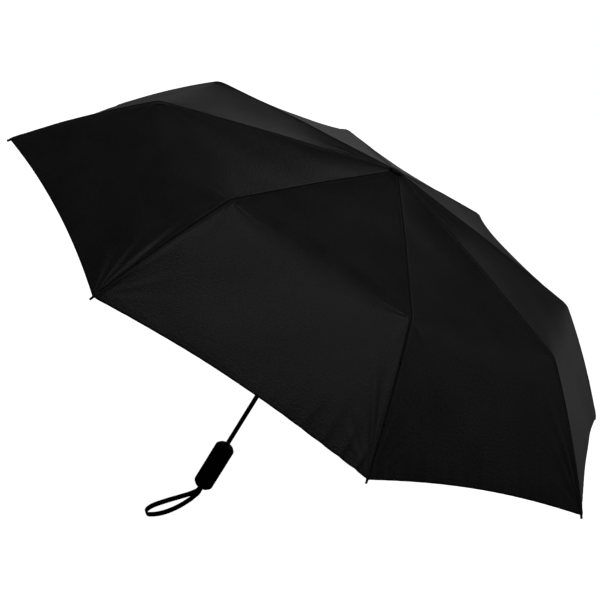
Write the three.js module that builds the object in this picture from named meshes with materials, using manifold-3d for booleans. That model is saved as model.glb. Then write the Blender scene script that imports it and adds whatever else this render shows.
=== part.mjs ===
/**
 * Three-fold umbrella with eight ribs, open, with its telescopic shaft pulled out.
 * Millimetres. +Z runs up the shaft to the crown, the origin is the middle of the grip,
 * and rib 1 points along +X.
 *
 * Every spoke is the real linkage: a top rib hinged in the top notch, a stretcher from the
 * runner, a middle rib, an outer rib and two thin control links. In a spoke's own frame X
 * points outwards, Y is the hinge direction and Z is up; the slope of a bar is the angle
 * that it drops below the horizontal.
 */
import * as THREE from 'three';
import { mergeVertices } from 'three/addons/utils/BufferGeometryUtils.js';
import Module from 'manifold-3d';

const wasm = await Module();
wasm.setup();

// --- Driving dimensions -----------------------------------------------------------------

const RIB_COUNT = 8;
const PLAY = 0.3; // gap between pieces that touch on the real umbrella

const GRIP = { radius: 15.2, bottom: -40, top: 40, chamfer: 4.2, boreFloor: -15.3 };
const END_CAP = { height: 8, chamfer: 4.2, stemRadius: 9, stemTop: -22 };
const STRAP_SLOT = { length: 9.4, width: 5 };

const TUBES = [
  { name: 'lower_tube', radius: 3.5, wall: 0.45, bottom: -15, top: 215 },
  { name: 'middle_tube', radius: 4.3, wall: 0.45, bottom: 175, top: 350 },
  { name: 'upper_tube', radius: 5.1, wall: 0.45, bottom: 310, top: 531 },
];

const NOTCH = {
  pivotRadius: 9, pivotHeight: 527, radius: 12.5, bottom: 521.5, top: 532.2, lowChamfer: 1.5, topChamfer: 1,
};
const SLOT_PLAY = 0.5; // between a rib eye and the end of its slot
const RING_WIRE = 0.5; // radius of the wire ring that carries the rib eyes
const CROWN_CAP = { radius: 12, underside: 533.4, rise: 4.4, stemBottom: 515 };

const RUNNER = { radius: 8.2, flangeRadius: 12.2, below: 24, flangeBelow: 4, above: 4, chamfer: 0.8 };
const BUTTON = { width: 5, height: 8, inner: 7.2, proud: 1.6, below: 13 };
const CATCH = { width: 1.6, height: 7, ramp: 5, radius: 6.4, below: 29 };
const CATCH_HEADING = 22.5; // degrees round the shaft, between rib 1 and rib 2

const BAR = { width: 3.2, height: 2.8, wall: 0.6 };
const TONGUE = { halfWidth: 1.5, radius: 1.9, hole: 1.05, grip: 1.4, halfHeight: 1.2 };
const EYE = { radius: 2, hole: 0.9 };
const LUG = { length: 8, halfHeight: 1.1 }; // flattened end of a channel bar
const EAR = { inner: 1.9, outer: 2.6, radius: 2 };
const EAR_SIDES = [[-EAR.outer, -EAR.inner], [EAR.inner, EAR.outer]]; // right, then left
const RIVET = { radius: 0.75, sides: 6 };
const PIVOT_CLEAR = 2.3; // how far a bar ends before the pivot of the next one
const SLEEVE = { from: 4.2, to: 9, halfHeight: 1.7 };

const TOP_RIB = { length: 161.7, slope: 9.32, pivotRise: 1.8 };
const MIDDLE_RIB = { length: 163, slope: 11.5, pivotDrop: 1.8 };
const OUTER_RIB = { length: 205, slope: 42, rise: 1.5, radius: 1.2, bow: 4 };
const STRETCHER = { along: 95, drop: 3.9 }; // its pivot on the top rib
const LINK = {
  radius: 0.55, inner: 2.9, outer: 4.1, arm: 5, eye: 1.5, farEye: 1.2, hole: 0.95, pin: 0.6, start: 1.14,
};
const HORN_RADIUS = 1.2;
const OUTER_HORN_DROP = 25; // degrees that the outer horn drops below the top rib's line

const CANOPY = { thickness: 0.36, holeRadius: 5.4, hemRise: 11, underNotch: 532.5, columns: 6 };
const OUTER_STATIONS = [0.2, 0.4, 0.6, 0.8, 1]; // along the last stretch, knee to tip
const CANOPY_RIDGE = { clampRadius: 13, first: [170, 505], knee: [330.4, 472.8] };
const CANOPY_TIP = { back: 4, above: 2.2 }; // from the end of the outer rib

const STRAP = { width: 8, thickness: 1.5, steps: 72, across: [0.475, -0.829, -0.293] };
// Loop of the wrist strap, out of the slot and back into it: [x, y, z].
const STRAP_ROUTE = [
  [-0.9, -0.5, -35], [-0.9, -0.5, -40], [-2.7, -4, -47.7], [-7.3, -6.1, -52.8],
  [-13.9, -8.5, -58.4], [-21.2, -11.1, -63.5], [-29, -13.5, -69.2], [-37.8, -16, -75.8],
  [-46.5, -18, -83.3], [-52.8, -18.4, -90.1], [-57.3, -17.6, -97.6], [-59.2, -15.2, -106],
  [-57.5, -11.6, -113.9], [-52.4, -8.3, -117.8], [-45.7, -5, -117.7], [-37.5, -2.7, -114.5],
  [-29.8, -1.7, -108.7], [-23, -1.5, -101.2], [-17.5, -1.7, -93.4], [-12.4, -1.9, -84.9],
  [-8.3, -2.3, -76.3], [-4.4, -2.7, -67.3], [-1.6, -2.7, -58.8], [0.6, -2.3, -52], [0.9, 0.5, -40],
  [0.9, 0.5, -35],
];

const COLOURS = {
  fabric: 0x1c1c1e,
  plastic: 0x0e0e0f,
  coatedSteel: 0x1a1a1b,
  steel: 0x8a8a8c,
  webbing: 0x101011,
};

// --- Small helpers ----------------------------------------------------------------------

const radians = THREE.MathUtils.degToRad;
const degrees = THREE.MathUtils.radToDeg;

function material(color, roughness, metalness) {
  return new THREE.MeshStandardMaterial({ color, roughness, metalness });
}

/** A closed three.js geometry as a manifold solid. */
function solid(geometry) {
  const bare = geometry.clone();
  bare.deleteAttribute('normal');
  bare.deleteAttribute('uv');
  const merged = mergeVertices(bare, 1e-4);
  return new wasm.Manifold(new wasm.Mesh({
    numProp: 3,
    vertProperties: merged.attributes.position.array,
    triVerts: new Uint32Array(merged.index.array),
  }));
}

/** A manifold solid as a three.js geometry. */
function geometryOf(body) {
  const mesh = body.getMesh();
  const geometry = new THREE.BufferGeometry();
  geometry.setAttribute('position', new THREE.BufferAttribute(mesh.vertProperties, 3));
  geometry.setIndex(new THREE.BufferAttribute(mesh.triVerts, 1));
  geometry.computeVertexNormals();
  return geometry;
}

function joined(...geometries) {
  return geometries.map(solid).reduce((whole, piece) => whole.add(piece));
}

function cut(body, ...geometries) {
  return geometries.map(solid).reduce((whole, piece) => whole.subtract(piece), body);
}

function block(x0, x1, y0, y1, z0, z1) {
  const box = new THREE.BoxGeometry(x1 - x0, y1 - y0, z1 - z0);
  return box.translate((x0 + x1) / 2, (y0 + y1) / 2, (z0 + z1) / 2);
}

/** A round piece whose axis is the hinge direction Y. */
function roller(x, z, radius, y0, y1, sides = 8) {
  return new THREE.CylinderGeometry(radius, radius, y1 - y0, sides).translate(x, (y0 + y1) / 2, z);
}

/** A flat plate in the plane of the spoke, from corners [x, z], between y0 and y1. */
function plate(corners, y0, y1) {
  const outline = new THREE.Shape(corners.map(([x, z]) => new THREE.Vector2(x, z)));
  const extruded = new THREE.ExtrudeGeometry(outline, { depth: y1 - y0, bevelEnabled: false });
  return extruded.rotateX(Math.PI / 2).translate(0, y1, 0);
}

/** A lug in the spoke's plane: round about its first point, square at its second. */
function lug([x0, z0], radius, [x1, z1], halfHeight, y0, y1) {
  const heading = Math.atan2(z1 - z0, x1 - x0);
  const corners = [];
  for (let step = 0; step <= 4; step += 1) {
    const angle = heading + Math.PI / 2 + step * Math.PI / 4;
    corners.push([x0 + radius * Math.cos(angle), z0 + radius * Math.sin(angle)]);
  }
  const across = [-Math.sin(heading) * halfHeight, Math.cos(heading) * halfHeight];
  corners.push([x1 - across[0], z1 - across[1]], [x1 + across[0], z1 + across[1]]);
  return plate(corners, y0, y1);
}

/** Folded steel channel along X, open below, with its centre line at height z. */
function channel(x0, x1, z = 0) {
  const side = BAR.width / 2;
  const inside = side - BAR.wall;
  const top = BAR.height / 2;
  const corners = [
    [-side, -top], [-inside, -top], [-inside, top - BAR.wall], [inside, top - BAR.wall],
    [inside, -top], [side, -top], [side, top], [-side, top],
  ];
  const outline = new THREE.Shape(corners.map(([y, h]) => new THREE.Vector2(y, h)));
  const extruded = new THREE.ExtrudeGeometry(outline, { depth: x1 - x0, bevelEnabled: false });
  const turn = new THREE.Matrix4().makeBasis(
    new THREE.Vector3(0, 1, 0), new THREE.Vector3(0, 0, 1), new THREE.Vector3(1, 0, 0),
  );
  return extruded.applyMatrix4(turn).translate(x0, 0, z);
}

/** A solid of revolution about the shaft from a closed [radius, height] profile. */
function turned(profile, segments) {
  const points = [...profile, profile[0]].map(([r, z]) => new THREE.Vector2(r, z));
  return new THREE.LatheGeometry(points, segments).rotateX(Math.PI / 2);
}

/** A solid of revolution whose [radius, height] profile starts and ends on the axis. */
function turnedSolid(profile, segments) {
  const points = profile.map(([r, z]) => new THREE.Vector2(r, z));
  return new THREE.LatheGeometry(points, segments).rotateX(Math.PI / 2);
}

/** Thin wire between two points of the spoke's plane, drawn as a five-sided rod. */
function wire([x0, z0], [x1, z1], radius, y) {
  const start = new THREE.Vector3(x0, y, z0);
  const end = new THREE.Vector3(x1, y, z1);
  const rod = new THREE.CylinderGeometry(radius, radius, start.distanceTo(end), 5);
  const turn = new THREE.Quaternion().setFromUnitVectors(
    new THREE.Vector3(0, 1, 0), end.clone().sub(start).normalize(),
  );
  const middle = start.add(end).multiplyScalar(0.5);
  return rod.applyQuaternion(turn).translate(middle.x, middle.y, middle.z);
}

/** A point given in a bar's frame, turned by the bar's slope into the spoke's frame. */
function turnBySlope([x, z], slope) {
  const angle = radians(slope);
  return [
    x * Math.cos(angle) + z * Math.sin(angle),
    -x * Math.sin(angle) + z * Math.cos(angle),
  ];
}

const plus = ([x0, z0], [x1, z1]) => [x0 + x1, z0 + z1];
const minus = ([x0, z0], [x1, z1]) => [x0 - x1, z0 - z1];

// --- Where the pivots of a spoke are, open ----------------------------------------------

const NOTCH_PIVOT = [NOTCH.pivotRadius, NOTCH.pivotHeight];
const STRETCHER_PIVOT = [STRETCHER.along, -STRETCHER.drop]; // in the top rib's frame
const FIRST_PIVOT = [TOP_RIB.length, TOP_RIB.pivotRise]; // in the top rib's frame
const KNEE_PIVOT = [MIDDLE_RIB.length, -TOP_RIB.pivotRise - MIDDLE_RIB.pivotDrop]; // middle rib's

// The stretcher is as long as the rib between its pivots, so that the runner stays on the shaft.
const STRETCHER_LENGTH = Math.hypot(STRETCHER.along, STRETCHER.drop);
const STRETCHER_RISE = TOP_RIB.slope + degrees(Math.atan2(STRETCHER.drop, STRETCHER.along));
const RUNNER_PIVOT_HEIGHT =
  NOTCH.pivotHeight - 2 * STRETCHER_LENGTH * Math.sin(radians(STRETCHER_RISE));

// Horns of equal length keep each control link beside its rib.
const INNER_HORN = turnBySlope([-LINK.arm, 0], -STRETCHER_RISE);
const OUTER_HORN = turnBySlope([-LINK.arm, 0], TOP_RIB.slope - OUTER_HORN_DROP);
const horn = (offset, slope) => turnBySlope(offset, -slope);
const INNER_HORN_ON_MIDDLE = horn(INNER_HORN, MIDDLE_RIB.slope);
const OUTER_HORN_ON_TOP = plus(FIRST_PIVOT, horn(OUTER_HORN, TOP_RIB.slope));
const OUTER_HORN_ON_OUTER = horn(OUTER_HORN, OUTER_RIB.slope);

// --- Pieces of a spoke ------------------------------------------------------------------

function topRib() {
  const half = TONGUE.halfWidth;
  const barEnd = TOP_RIB.length - PIVOT_CLEAR;
  const saddle = EAR.radius + 0.5;
  const pieces = [
    channel(EYE.radius, barEnd),
    lug([0, 0], EYE.radius, [LUG.length, 0], LUG.halfHeight, -half, half),
    lug(FIRST_PIVOT, TONGUE.radius, [barEnd - TONGUE.grip, 0.1], TONGUE.halfHeight, -half, half),
    roller(...OUTER_HORN_ON_TOP, LINK.pin, -LINK.outer, 0.5 - half, RIVET.sides),
    block(STRETCHER.along - saddle, STRETCHER.along + saddle, -EAR.outer, EAR.outer,
      -BAR.height / 2, BAR.height / 2 + PLAY),
    ...EAR_SIDES.map(([y0, y1]) => lug(STRETCHER_PIVOT, EAR.radius,
      [STRETCHER.along, -BAR.height / 4], saddle, y0, y1)),
    roller(...STRETCHER_PIVOT, RIVET.radius, -EAR.outer, EAR.outer, RIVET.sides),
  ];
  return cut(joined(...pieces),
    roller(0, 0, EYE.hole, -EAR.outer, EAR.outer),
    roller(...FIRST_PIVOT, TONGUE.hole, -EAR.inner, EAR.inner));
}

function stretcher() {
  const half = TONGUE.halfWidth;
  const body = joined(
    channel(-STRETCHER_LENGTH + EYE.radius, -PIVOT_CLEAR),
    lug([-STRETCHER_LENGTH, 0], EYE.radius, [LUG.length - STRETCHER_LENGTH, 0],
      LUG.halfHeight, -half, half),
    lug([0, 0], TONGUE.radius, [-LUG.length, 0], LUG.halfHeight, -half, half),
    roller(-LINK.arm, 0, LINK.pin, half - 0.5, LINK.outer, RIVET.sides),
  );
  return cut(body,
    roller(-STRETCHER_LENGTH, 0, EYE.hole, -EAR.outer, EAR.outer),
    roller(0, 0, TONGUE.hole, -EAR.outer, EAR.outer));
}

/** The forked end that a rib hinges by: ears, a horn on one side, a rivet and a sleeve. */
function fork(centreHeight, hornPoint, hornSide) {
  const sleeveEnd = [SLEEVE.from + 0.5, centreHeight];
  return [
    block(SLEEVE.from, SLEEVE.to, -EAR.outer, EAR.outer,
      centreHeight - SLEEVE.halfHeight, centreHeight + SLEEVE.halfHeight),
    roller(0, 0, RIVET.radius, -EAR.outer, EAR.outer, RIVET.sides),
    ...EAR_SIDES.map(([y0, y1]) => lug([0, 0], EAR.radius, sleeveEnd,
      SLEEVE.halfHeight - 0.2, y0, y1)),
    lug(hornPoint, HORN_RADIUS, [0, 0], EAR.radius - 0.3, ...EAR_SIDES[hornSide]),
  ];
}

function middleRib() {
  const half = TONGUE.halfWidth;
  const centre = -TOP_RIB.pivotRise;
  const barEnd = MIDDLE_RIB.length - PIVOT_CLEAR;
  const body = joined(
    ...fork(centre, INNER_HORN_ON_MIDDLE, 1),
    channel(SLEEVE.from, barEnd, centre),
    lug(KNEE_PIVOT, TONGUE.radius, [barEnd - TONGUE.grip, centre - 0.1],
      TONGUE.halfHeight, -half, half),
  );
  return cut(body, roller(...KNEE_PIVOT, TONGUE.hole, -EAR.inner, EAR.inner));
}

/** Centre line of the outer rib: a rod that bows outwards a little under the cloth. */
function outerRibPoint(x) {
  const from = SLEEVE.from + 1;
  const share = (x - from) / (OUTER_RIB.length - from);
  return [x, OUTER_RIB.rise + 4 * OUTER_RIB.bow * share * (1 - share)];
}

class OuterRibLine extends THREE.Curve {
  getPoint(share, target = new THREE.Vector3()) {
    const from = SLEEVE.from + 1;
    const [x, z] = outerRibPoint(from + share * (OUTER_RIB.length - from));
    return target.set(x, 0, z);
  }
}

function outerRib() {
  const section = new THREE.Shape().absarc(0, 0, OUTER_RIB.radius, 0, 2 * Math.PI, false);
  const rod = new THREE.ExtrudeGeometry(section, {
    extrudePath: new OuterRibLine(), steps: 6, curveSegments: 3, bevelEnabled: false,
  });
  return joined(...fork(OUTER_RIB.rise, OUTER_HORN_ON_OUTER, 0), rod);
}

/** A control link: an eye round its pin, and a straight wire to the horn of the next rib. */
function controlLink(end, side) {
  const y0 = side > 0 ? LINK.inner : -LINK.outer;
  const y1 = side > 0 ? LINK.outer : -LINK.inner;
  const share = LINK.start / Math.hypot(...end);
  const inTheEye = [end[0] * share, end[1] * share];
  const body = joined(
    roller(0, 0, LINK.eye, y0, y1),
    wire(inTheEye, end, LINK.radius, (y0 + y1) / 2),
    roller(end[0], end[1], LINK.farEye, y0, y1, RIVET.sides),
  );
  return cut(body, roller(0, 0, LINK.hole, y0 - 1, y1 + 1, RIVET.sides));
}

// --- Pieces on the shaft ----------------------------------------------------------------

function tube({ radius, wall, bottom, top }) {
  return solid(turned([
    [radius - wall, bottom], [radius, bottom], [radius, top], [radius - wall, top],
  ], 20));
}

/** Slots for the rib ends, cut from the bore ring outwards and through one face. */
function slots(z0, z1) {
  const halfWidth = TONGUE.halfWidth + PLAY;
  const inner = NOTCH.pivotRadius - EYE.radius - 0.4;
  return Array.from({ length: RIB_COUNT }, (unused, index) => {
    const slot = block(inner, NOTCH.radius + 5, -halfWidth, halfWidth, z0, z1);
    return slot.rotateZ(2 * Math.PI * index / RIB_COUNT);
  });
}

function ringWire(height) {
  const ring = new THREE.TorusGeometry(NOTCH.pivotRadius, RING_WIRE, 5, 24);
  return ring.translate(0, 0, height);
}

function topNotch() {
  const bore = TUBES[2].radius + PLAY;
  const { radius, bottom, top, lowChamfer, topChamfer, pivotHeight } = NOTCH;
  const hub = solid(turned([
    [bore, bottom], [radius - lowChamfer, bottom], [radius, bottom + lowChamfer],
    [radius, top - topChamfer], [radius - topChamfer, top], [bore, top],
  ], 32));
  const slotted = cut(hub, ...slots(bottom - 1, pivotHeight + EYE.radius + SLOT_PLAY));
  return slotted.add(solid(ringWire(pivotHeight)));
}

function crownCap() {
  const { radius, underside, rise, stemBottom } = CROWN_CAP;
  const stem = TUBES[2].radius - TUBES[2].wall - PLAY;
  return solid(turnedSolid([
    [0, stemBottom], [stem, stemBottom], [stem, underside], [radius, underside],
    [radius, underside + 1.2], [radius * 0.93, underside + 0.55 * rise],
    [radius * 0.75, underside + 0.8 * rise], [radius * 0.45, underside + 0.95 * rise],
    [0, underside + rise],
  ], 28));
}

function runner() {
  const pivot = RUNNER_PIVOT_HEIGHT;
  const bore = TUBES[2].radius + PLAY;
  const { radius, flangeRadius, below, flangeBelow, above, chamfer } = RUNNER;
  const underFlange = pivot - flangeBelow;
  const sleeve = solid(turned([
    [bore, pivot - below], [radius - chamfer, pivot - below], [radius, pivot - below + chamfer],
    [radius, underFlange - 2 * chamfer], [flangeRadius - chamfer, underFlange],
    [flangeRadius, underFlange + chamfer], [flangeRadius, pivot + above], [bore, pivot + above],
  ], 32));
  const groove = block(0, CATCH.radius + 0.5, -CATCH.width / 2 - 0.4, CATCH.width / 2 + 0.4,
    pivot - below - 1, pivot + above + 1);
  const window = block(bore - 1, radius + 2, -BUTTON.width / 2 - PLAY, BUTTON.width / 2 + PLAY,
    pivot - BUTTON.below - BUTTON.height / 2 - PLAY, pivot - BUTTON.below + BUTTON.height / 2 + PLAY);
  const turnedTo = (geometry) => geometry.rotateZ(radians(CATCH_HEADING));
  const slotted = cut(sleeve, ...slots(pivot - EYE.radius - SLOT_PLAY, pivot + above + 1),
    turnedTo(groove), turnedTo(window));
  return slotted.add(solid(ringWire(pivot)));
}

function runnerButton() {
  const height = RUNNER_PIVOT_HEIGHT - BUTTON.below;
  const half = BUTTON.height / 2;
  const outer = RUNNER.radius + BUTTON.proud;
  const face = plate([
    [BUTTON.inner, height - half], [outer - 0.6, height - half], [outer, height - half + 1.2],
    [outer, height + half - 1.2], [outer - 0.6, height + half], [BUTTON.inner, height + half],
  ], -BUTTON.width / 2, BUTTON.width / 2);
  return solid(face.rotateZ(radians(CATCH_HEADING)));
}

/** The spring nose that holds the open runner up, in its slot in the upper tube. */
function runnerCatch() {
  const height = RUNNER_PIVOT_HEIGHT - CATCH.below;
  const half = CATCH.height / 2;
  const inner = TUBES[1].radius + PLAY;
  const nose = plate([
    [inner, height - half - CATCH.ramp], [inner + 0.3, height - half - CATCH.ramp],
    [CATCH.radius, height + half - 1],
    [CATCH.radius, height + half], [inner, height + half],
  ], -CATCH.width / 2, CATCH.width / 2);
  return solid(nose.rotateZ(radians(CATCH_HEADING)));
}

function upperTube() {
  const height = RUNNER_PIVOT_HEIGHT - CATCH.below;
  const half = CATCH.height / 2;
  const window = block(0, TUBES[2].radius + 2, -CATCH.width / 2 - PLAY, CATCH.width / 2 + PLAY,
    height - half - CATCH.ramp - PLAY, height + half + PLAY);
  return cut(tube(TUBES[2]), window.rotateZ(radians(CATCH_HEADING)));
}

function handleGrip() {
  const { radius, bottom, top, chamfer, boreFloor } = GRIP;
  const { height, stemRadius, stemTop } = END_CAP;
  const bore = TUBES[0].radius + PLAY;
  return solid(turnedSolid([
    [0, stemTop + PLAY], [stemRadius + PLAY, stemTop + PLAY], [stemRadius + PLAY, bottom + height],
    [radius, bottom + height], [radius, top - chamfer], [radius - 0.8, top - 0.45 * chamfer],
    [radius - chamfer, top], [bore, top], [bore, boreFloor], [0, boreFloor],
  ], 28));
}

function handleEndCap() {
  const { radius, bottom } = GRIP;
  const { height, chamfer, stemRadius, stemTop } = END_CAP;
  const cap = solid(turnedSolid([
    [0, bottom], [radius - chamfer, bottom], [radius - 0.9, bottom + 0.5 * chamfer],
    [radius, bottom + chamfer], [radius, bottom + height - PLAY],
    [stemRadius, bottom + height - PLAY], [stemRadius, stemTop], [0, stemTop],
  ], 32));
  const slot = block(-STRAP_SLOT.length / 2, STRAP_SLOT.length / 2,
    -STRAP_SLOT.width / 2, STRAP_SLOT.width / 2, bottom - 1, stemTop + 1);
  return cut(cap, slot.rotateZ(Math.atan2(STRAP.across[1], STRAP.across[0])));
}

/** The strap's line. The tape's width keeps one direction, square to the line. */
class StrapLine extends THREE.CatmullRomCurve3 {
  computeFrenetFrames(steps) {
    const frames = { tangents: [], normals: [], binormals: [] };
    for (let step = 0; step <= steps; step += 1) {
      const tangent = this.getTangentAt(step / steps);
      const across = new THREE.Vector3(...STRAP.across).projectOnPlane(tangent).normalize();
      frames.tangents.push(tangent);
      frames.normals.push(across);
      frames.binormals.push(tangent.clone().cross(across));
    }
    return frames;
  }
}

function wristStrap() {
  const points = STRAP_ROUTE.map(([x, y, z]) => new THREE.Vector3(x, y, z));
  const line = new StrapLine(points, false, 'centripetal');
  const side = STRAP.width / 2;
  const face = STRAP.thickness / 2;
  const bevel = face / 2;
  const section = new THREE.Shape([
    [side, -bevel], [side, bevel], [side - bevel, face], [bevel - side, face],
    [-side, bevel], [-side, -bevel], [bevel - side, -face], [side - bevel, -face],
  ].map(([x, y]) => new THREE.Vector2(x, y)));
  return solid(new THREE.ExtrudeGeometry(section, {
    extrudePath: line, steps: STRAP.steps, bevelEnabled: false,
  }));
}

// --- Canopy -----------------------------------------------------------------------------

/** Underside of the cloth along a rib, as [radius, height], from the crown to the tip. */
function canopyRidge() {
  const firstPivot = plus(NOTCH_PIVOT, turnBySlope(FIRST_PIVOT, TOP_RIB.slope));
  const kneePivot = plus(firstPivot, turnBySlope(KNEE_PIVOT, MIDDLE_RIB.slope));
  const tipX = OUTER_RIB.length - CANOPY_TIP.back;
  const tipBar = [tipX, outerRibPoint(tipX)[1] + CANOPY_TIP.above];
  const tip = plus(kneePivot, turnBySlope(tipBar, OUTER_RIB.slope));
  const between = ([r0, z0], [r1, z1], share, bow = 0) => {
    const length = Math.hypot(r1 - r0, z1 - z0);
    const lift = 4 * bow * share * (1 - share);
    return [
      r0 + (r1 - r0) * share - (z1 - z0) / length * lift,
      z0 + (z1 - z0) * share + (r1 - r0) / length * lift,
    ];
  };
  const clamp = [CANOPY_RIDGE.clampRadius, CANOPY.underNotch];
  const { first, knee } = CANOPY_RIDGE;
  return [
    [CANOPY.holeRadius, CANOPY.underNotch], clamp, between(clamp, first, 0.33),
    between(clamp, first, 0.67), first, between(first, knee, 0.5), knee,
    ...OUTER_STATIONS.map((share) => between(knee, tip, share, OUTER_RIB.bow)),
  ];
}

/**
 * Eight gores in one thin shell. Across a gore the cloth is straight from rib to rib, and
 * its lower stations rise towards the middle of the gore, which leaves the scalloped hem.
 */
function canopy() {
  const ridge = canopyRidge();
  const columns = RIB_COUNT * CANOPY.columns;
  const gore = 2 * Math.PI / RIB_COUNT;
  const last = ridge.length - 1;
  const knee = last - OUTER_STATIONS.length;
  const positions = [];
  for (const layer of [0, CANOPY.thickness]) {
    ridge.forEach((point, station) => {
      const before = ridge[Math.max(station - 1, 0)];
      const after = ridge[Math.min(station + 1, last)];
      const [dr, dz] = minus(after, before);
      const length = Math.hypot(dr, dz);
      const pastKnee = Math.max(0, (station - knee) / (last - knee));
      for (let column = 0; column < columns; column += 1) {
        const angle = gore * column / CANOPY.columns;
        const offset = angle - gore * Math.round(angle / gore);
        const towardsRib = 1 - 2 * Math.abs(offset) / gore;
        const rise = CANOPY.hemRise * pastKnee ** 2 * (1 - towardsRib ** 2);
        const r = point[0] - dr / length * rise - dz / length * layer;
        const z = point[1] - dz / length * rise + dr / length * layer;
        const straight = Math.cos(gore / 2) / Math.cos(gore / 2 - Math.abs(offset));
        const reach = r * (station > 0 ? straight : 1);
        positions.push(reach * Math.cos(angle), reach * Math.sin(angle), z);
      }
    });
  }
  const at = (layer, station, column) => (layer * ridge.length + station) * columns + column % columns;
  const triangles = [];
  const quad = (a, b, c, d) => triangles.push(a, b, c, a, c, d);
  for (let column = 0; column < columns; column += 1) {
    for (let station = 0; station < last; station += 1) {
      quad(at(1, station, column), at(1, station + 1, column),
        at(1, station + 1, column + 1), at(1, station, column + 1));
      quad(at(0, station, column), at(0, station, column + 1),
        at(0, station + 1, column + 1), at(0, station + 1, column));
    }
    quad(at(0, 0, column), at(1, 0, column), at(1, 0, column + 1), at(0, 0, column + 1));
    quad(at(0, last, column), at(0, last, column + 1),
      at(1, last, column + 1), at(1, last, column));
  }
  const geometry = new THREE.BufferGeometry();
  geometry.setAttribute('position', new THREE.Float32BufferAttribute(positions, 3));
  geometry.setIndex(triangles);
  return solid(geometry);
}

// --- Assembly ---------------------------------------------------------------------------

const finishes = {
  fabric: material(COLOURS.fabric, 0.75, 0),
  plastic: material(COLOURS.plastic, 0.5, 0),
  coatedSteel: material(COLOURS.coatedSteel, 0.4, 0.6),
  steel: material(COLOURS.steel, 0.35, 1),
  webbing: material(COLOURS.webbing, 0.9, 0),
};

function mesh(name, body, finish) {
  const made = new THREE.Mesh(geometryOf(body), finish.clone());
  made.name = name;
  return made;
}

/** A moving body: a group at its pivot, at a slope below its parent's own slope. */
function body(name, parent, [x, z], slope, parentSlope) {
  const group = new THREE.Group();
  group.name = name;
  group.position.set(x, 0, z);
  group.rotation.y = radians(slope - parentSlope);
  parent.add(group);
  return group;
}

function spoke(number, solids) {
  const root = new THREE.Group();
  root.rotation.z = 2 * Math.PI * (number - 1) / RIB_COUNT;
  const top = body(`top_${number}`, root, NOTCH_PIVOT, TOP_RIB.slope, 0);
  top.add(mesh(`top_rib_${number}`, solids.topRib, finishes.coatedSteel));

  const stay = body(`stay_${number}`, top, STRETCHER_PIVOT, -STRETCHER_RISE, TOP_RIB.slope);
  stay.add(mesh(`stretcher_${number}`, solids.stretcher, finishes.coatedSteel));

  const inner = body(`inner_${number}`, stay, [-LINK.arm, 0], TOP_RIB.slope, -STRETCHER_RISE);
  inner.add(mesh(`inner_link_${number}`, solids.innerLink, finishes.steel));

  const middle = body(`middle_${number}`, top, FIRST_PIVOT, MIDDLE_RIB.slope, TOP_RIB.slope);
  middle.add(mesh(`middle_rib_${number}`, solids.middleRib, finishes.coatedSteel));

  const link = body(`link_${number}`, top, OUTER_HORN_ON_TOP, MIDDLE_RIB.slope, TOP_RIB.slope);
  link.add(mesh(`outer_link_${number}`, solids.outerLink, finishes.steel));

  const outer = body(`outer_${number}`, middle, KNEE_PIVOT, OUTER_RIB.slope, MIDDLE_RIB.slope);
  outer.add(mesh(`outer_rib_${number}`, solids.outerRib, finishes.coatedSteel));
  return root;
}

const umbrella = new THREE.Group();
umbrella.name = 'folding_umbrella';

const spokeSolids = {
  topRib: topRib(),
  stretcher: stretcher(),
  innerLink: controlLink(minus(FIRST_PIVOT, STRETCHER_PIVOT), 1),
  middleRib: middleRib(),
  outerLink: controlLink(KNEE_PIVOT, -1),
  outerRib: outerRib(),
};
for (let number = 1; number <= RIB_COUNT; number += 1) {
  umbrella.add(spoke(number, spokeSolids));
}

umbrella.add(mesh('canopy', canopy(), finishes.fabric));
umbrella.add(mesh('crown_cap', crownCap(), finishes.plastic));
umbrella.add(mesh('top_notch', topNotch(), finishes.plastic));
umbrella.add(mesh('upper_tube', upperTube(), finishes.coatedSteel));
umbrella.add(mesh('middle_tube', tube(TUBES[1]), finishes.coatedSteel));
umbrella.add(mesh('lower_tube', tube(TUBES[0]), finishes.coatedSteel));
umbrella.add(mesh('runner', runner(), finishes.plastic));
umbrella.add(mesh('runner_button', runnerButton(), finishes.plastic));
umbrella.add(mesh('runner_catch', runnerCatch(), finishes.steel));
umbrella.add(mesh('handle_grip', handleGrip(), finishes.plastic));
umbrella.add(mesh('handle_end_cap', handleEndCap(), finishes.plastic));
umbrella.add(mesh('wrist_strap', wristStrap(), finishes.webbing));

export default umbrella;
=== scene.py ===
"""Folding umbrella, open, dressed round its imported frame.

Metres, +Z up the shaft, the origin in the middle of the grip and rib 1 along +X. The canopy is
eight gores of woven polyester. Each gore is cut along its middle and at the two rings of rib
joints, so that every stretch of cloth moves with the bar it is sewn to when the frame folds.
"""

from __future__ import annotations

import logging
import math
from collections.abc import Sequence
from dataclasses import dataclass, field
from enum import Enum

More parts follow.
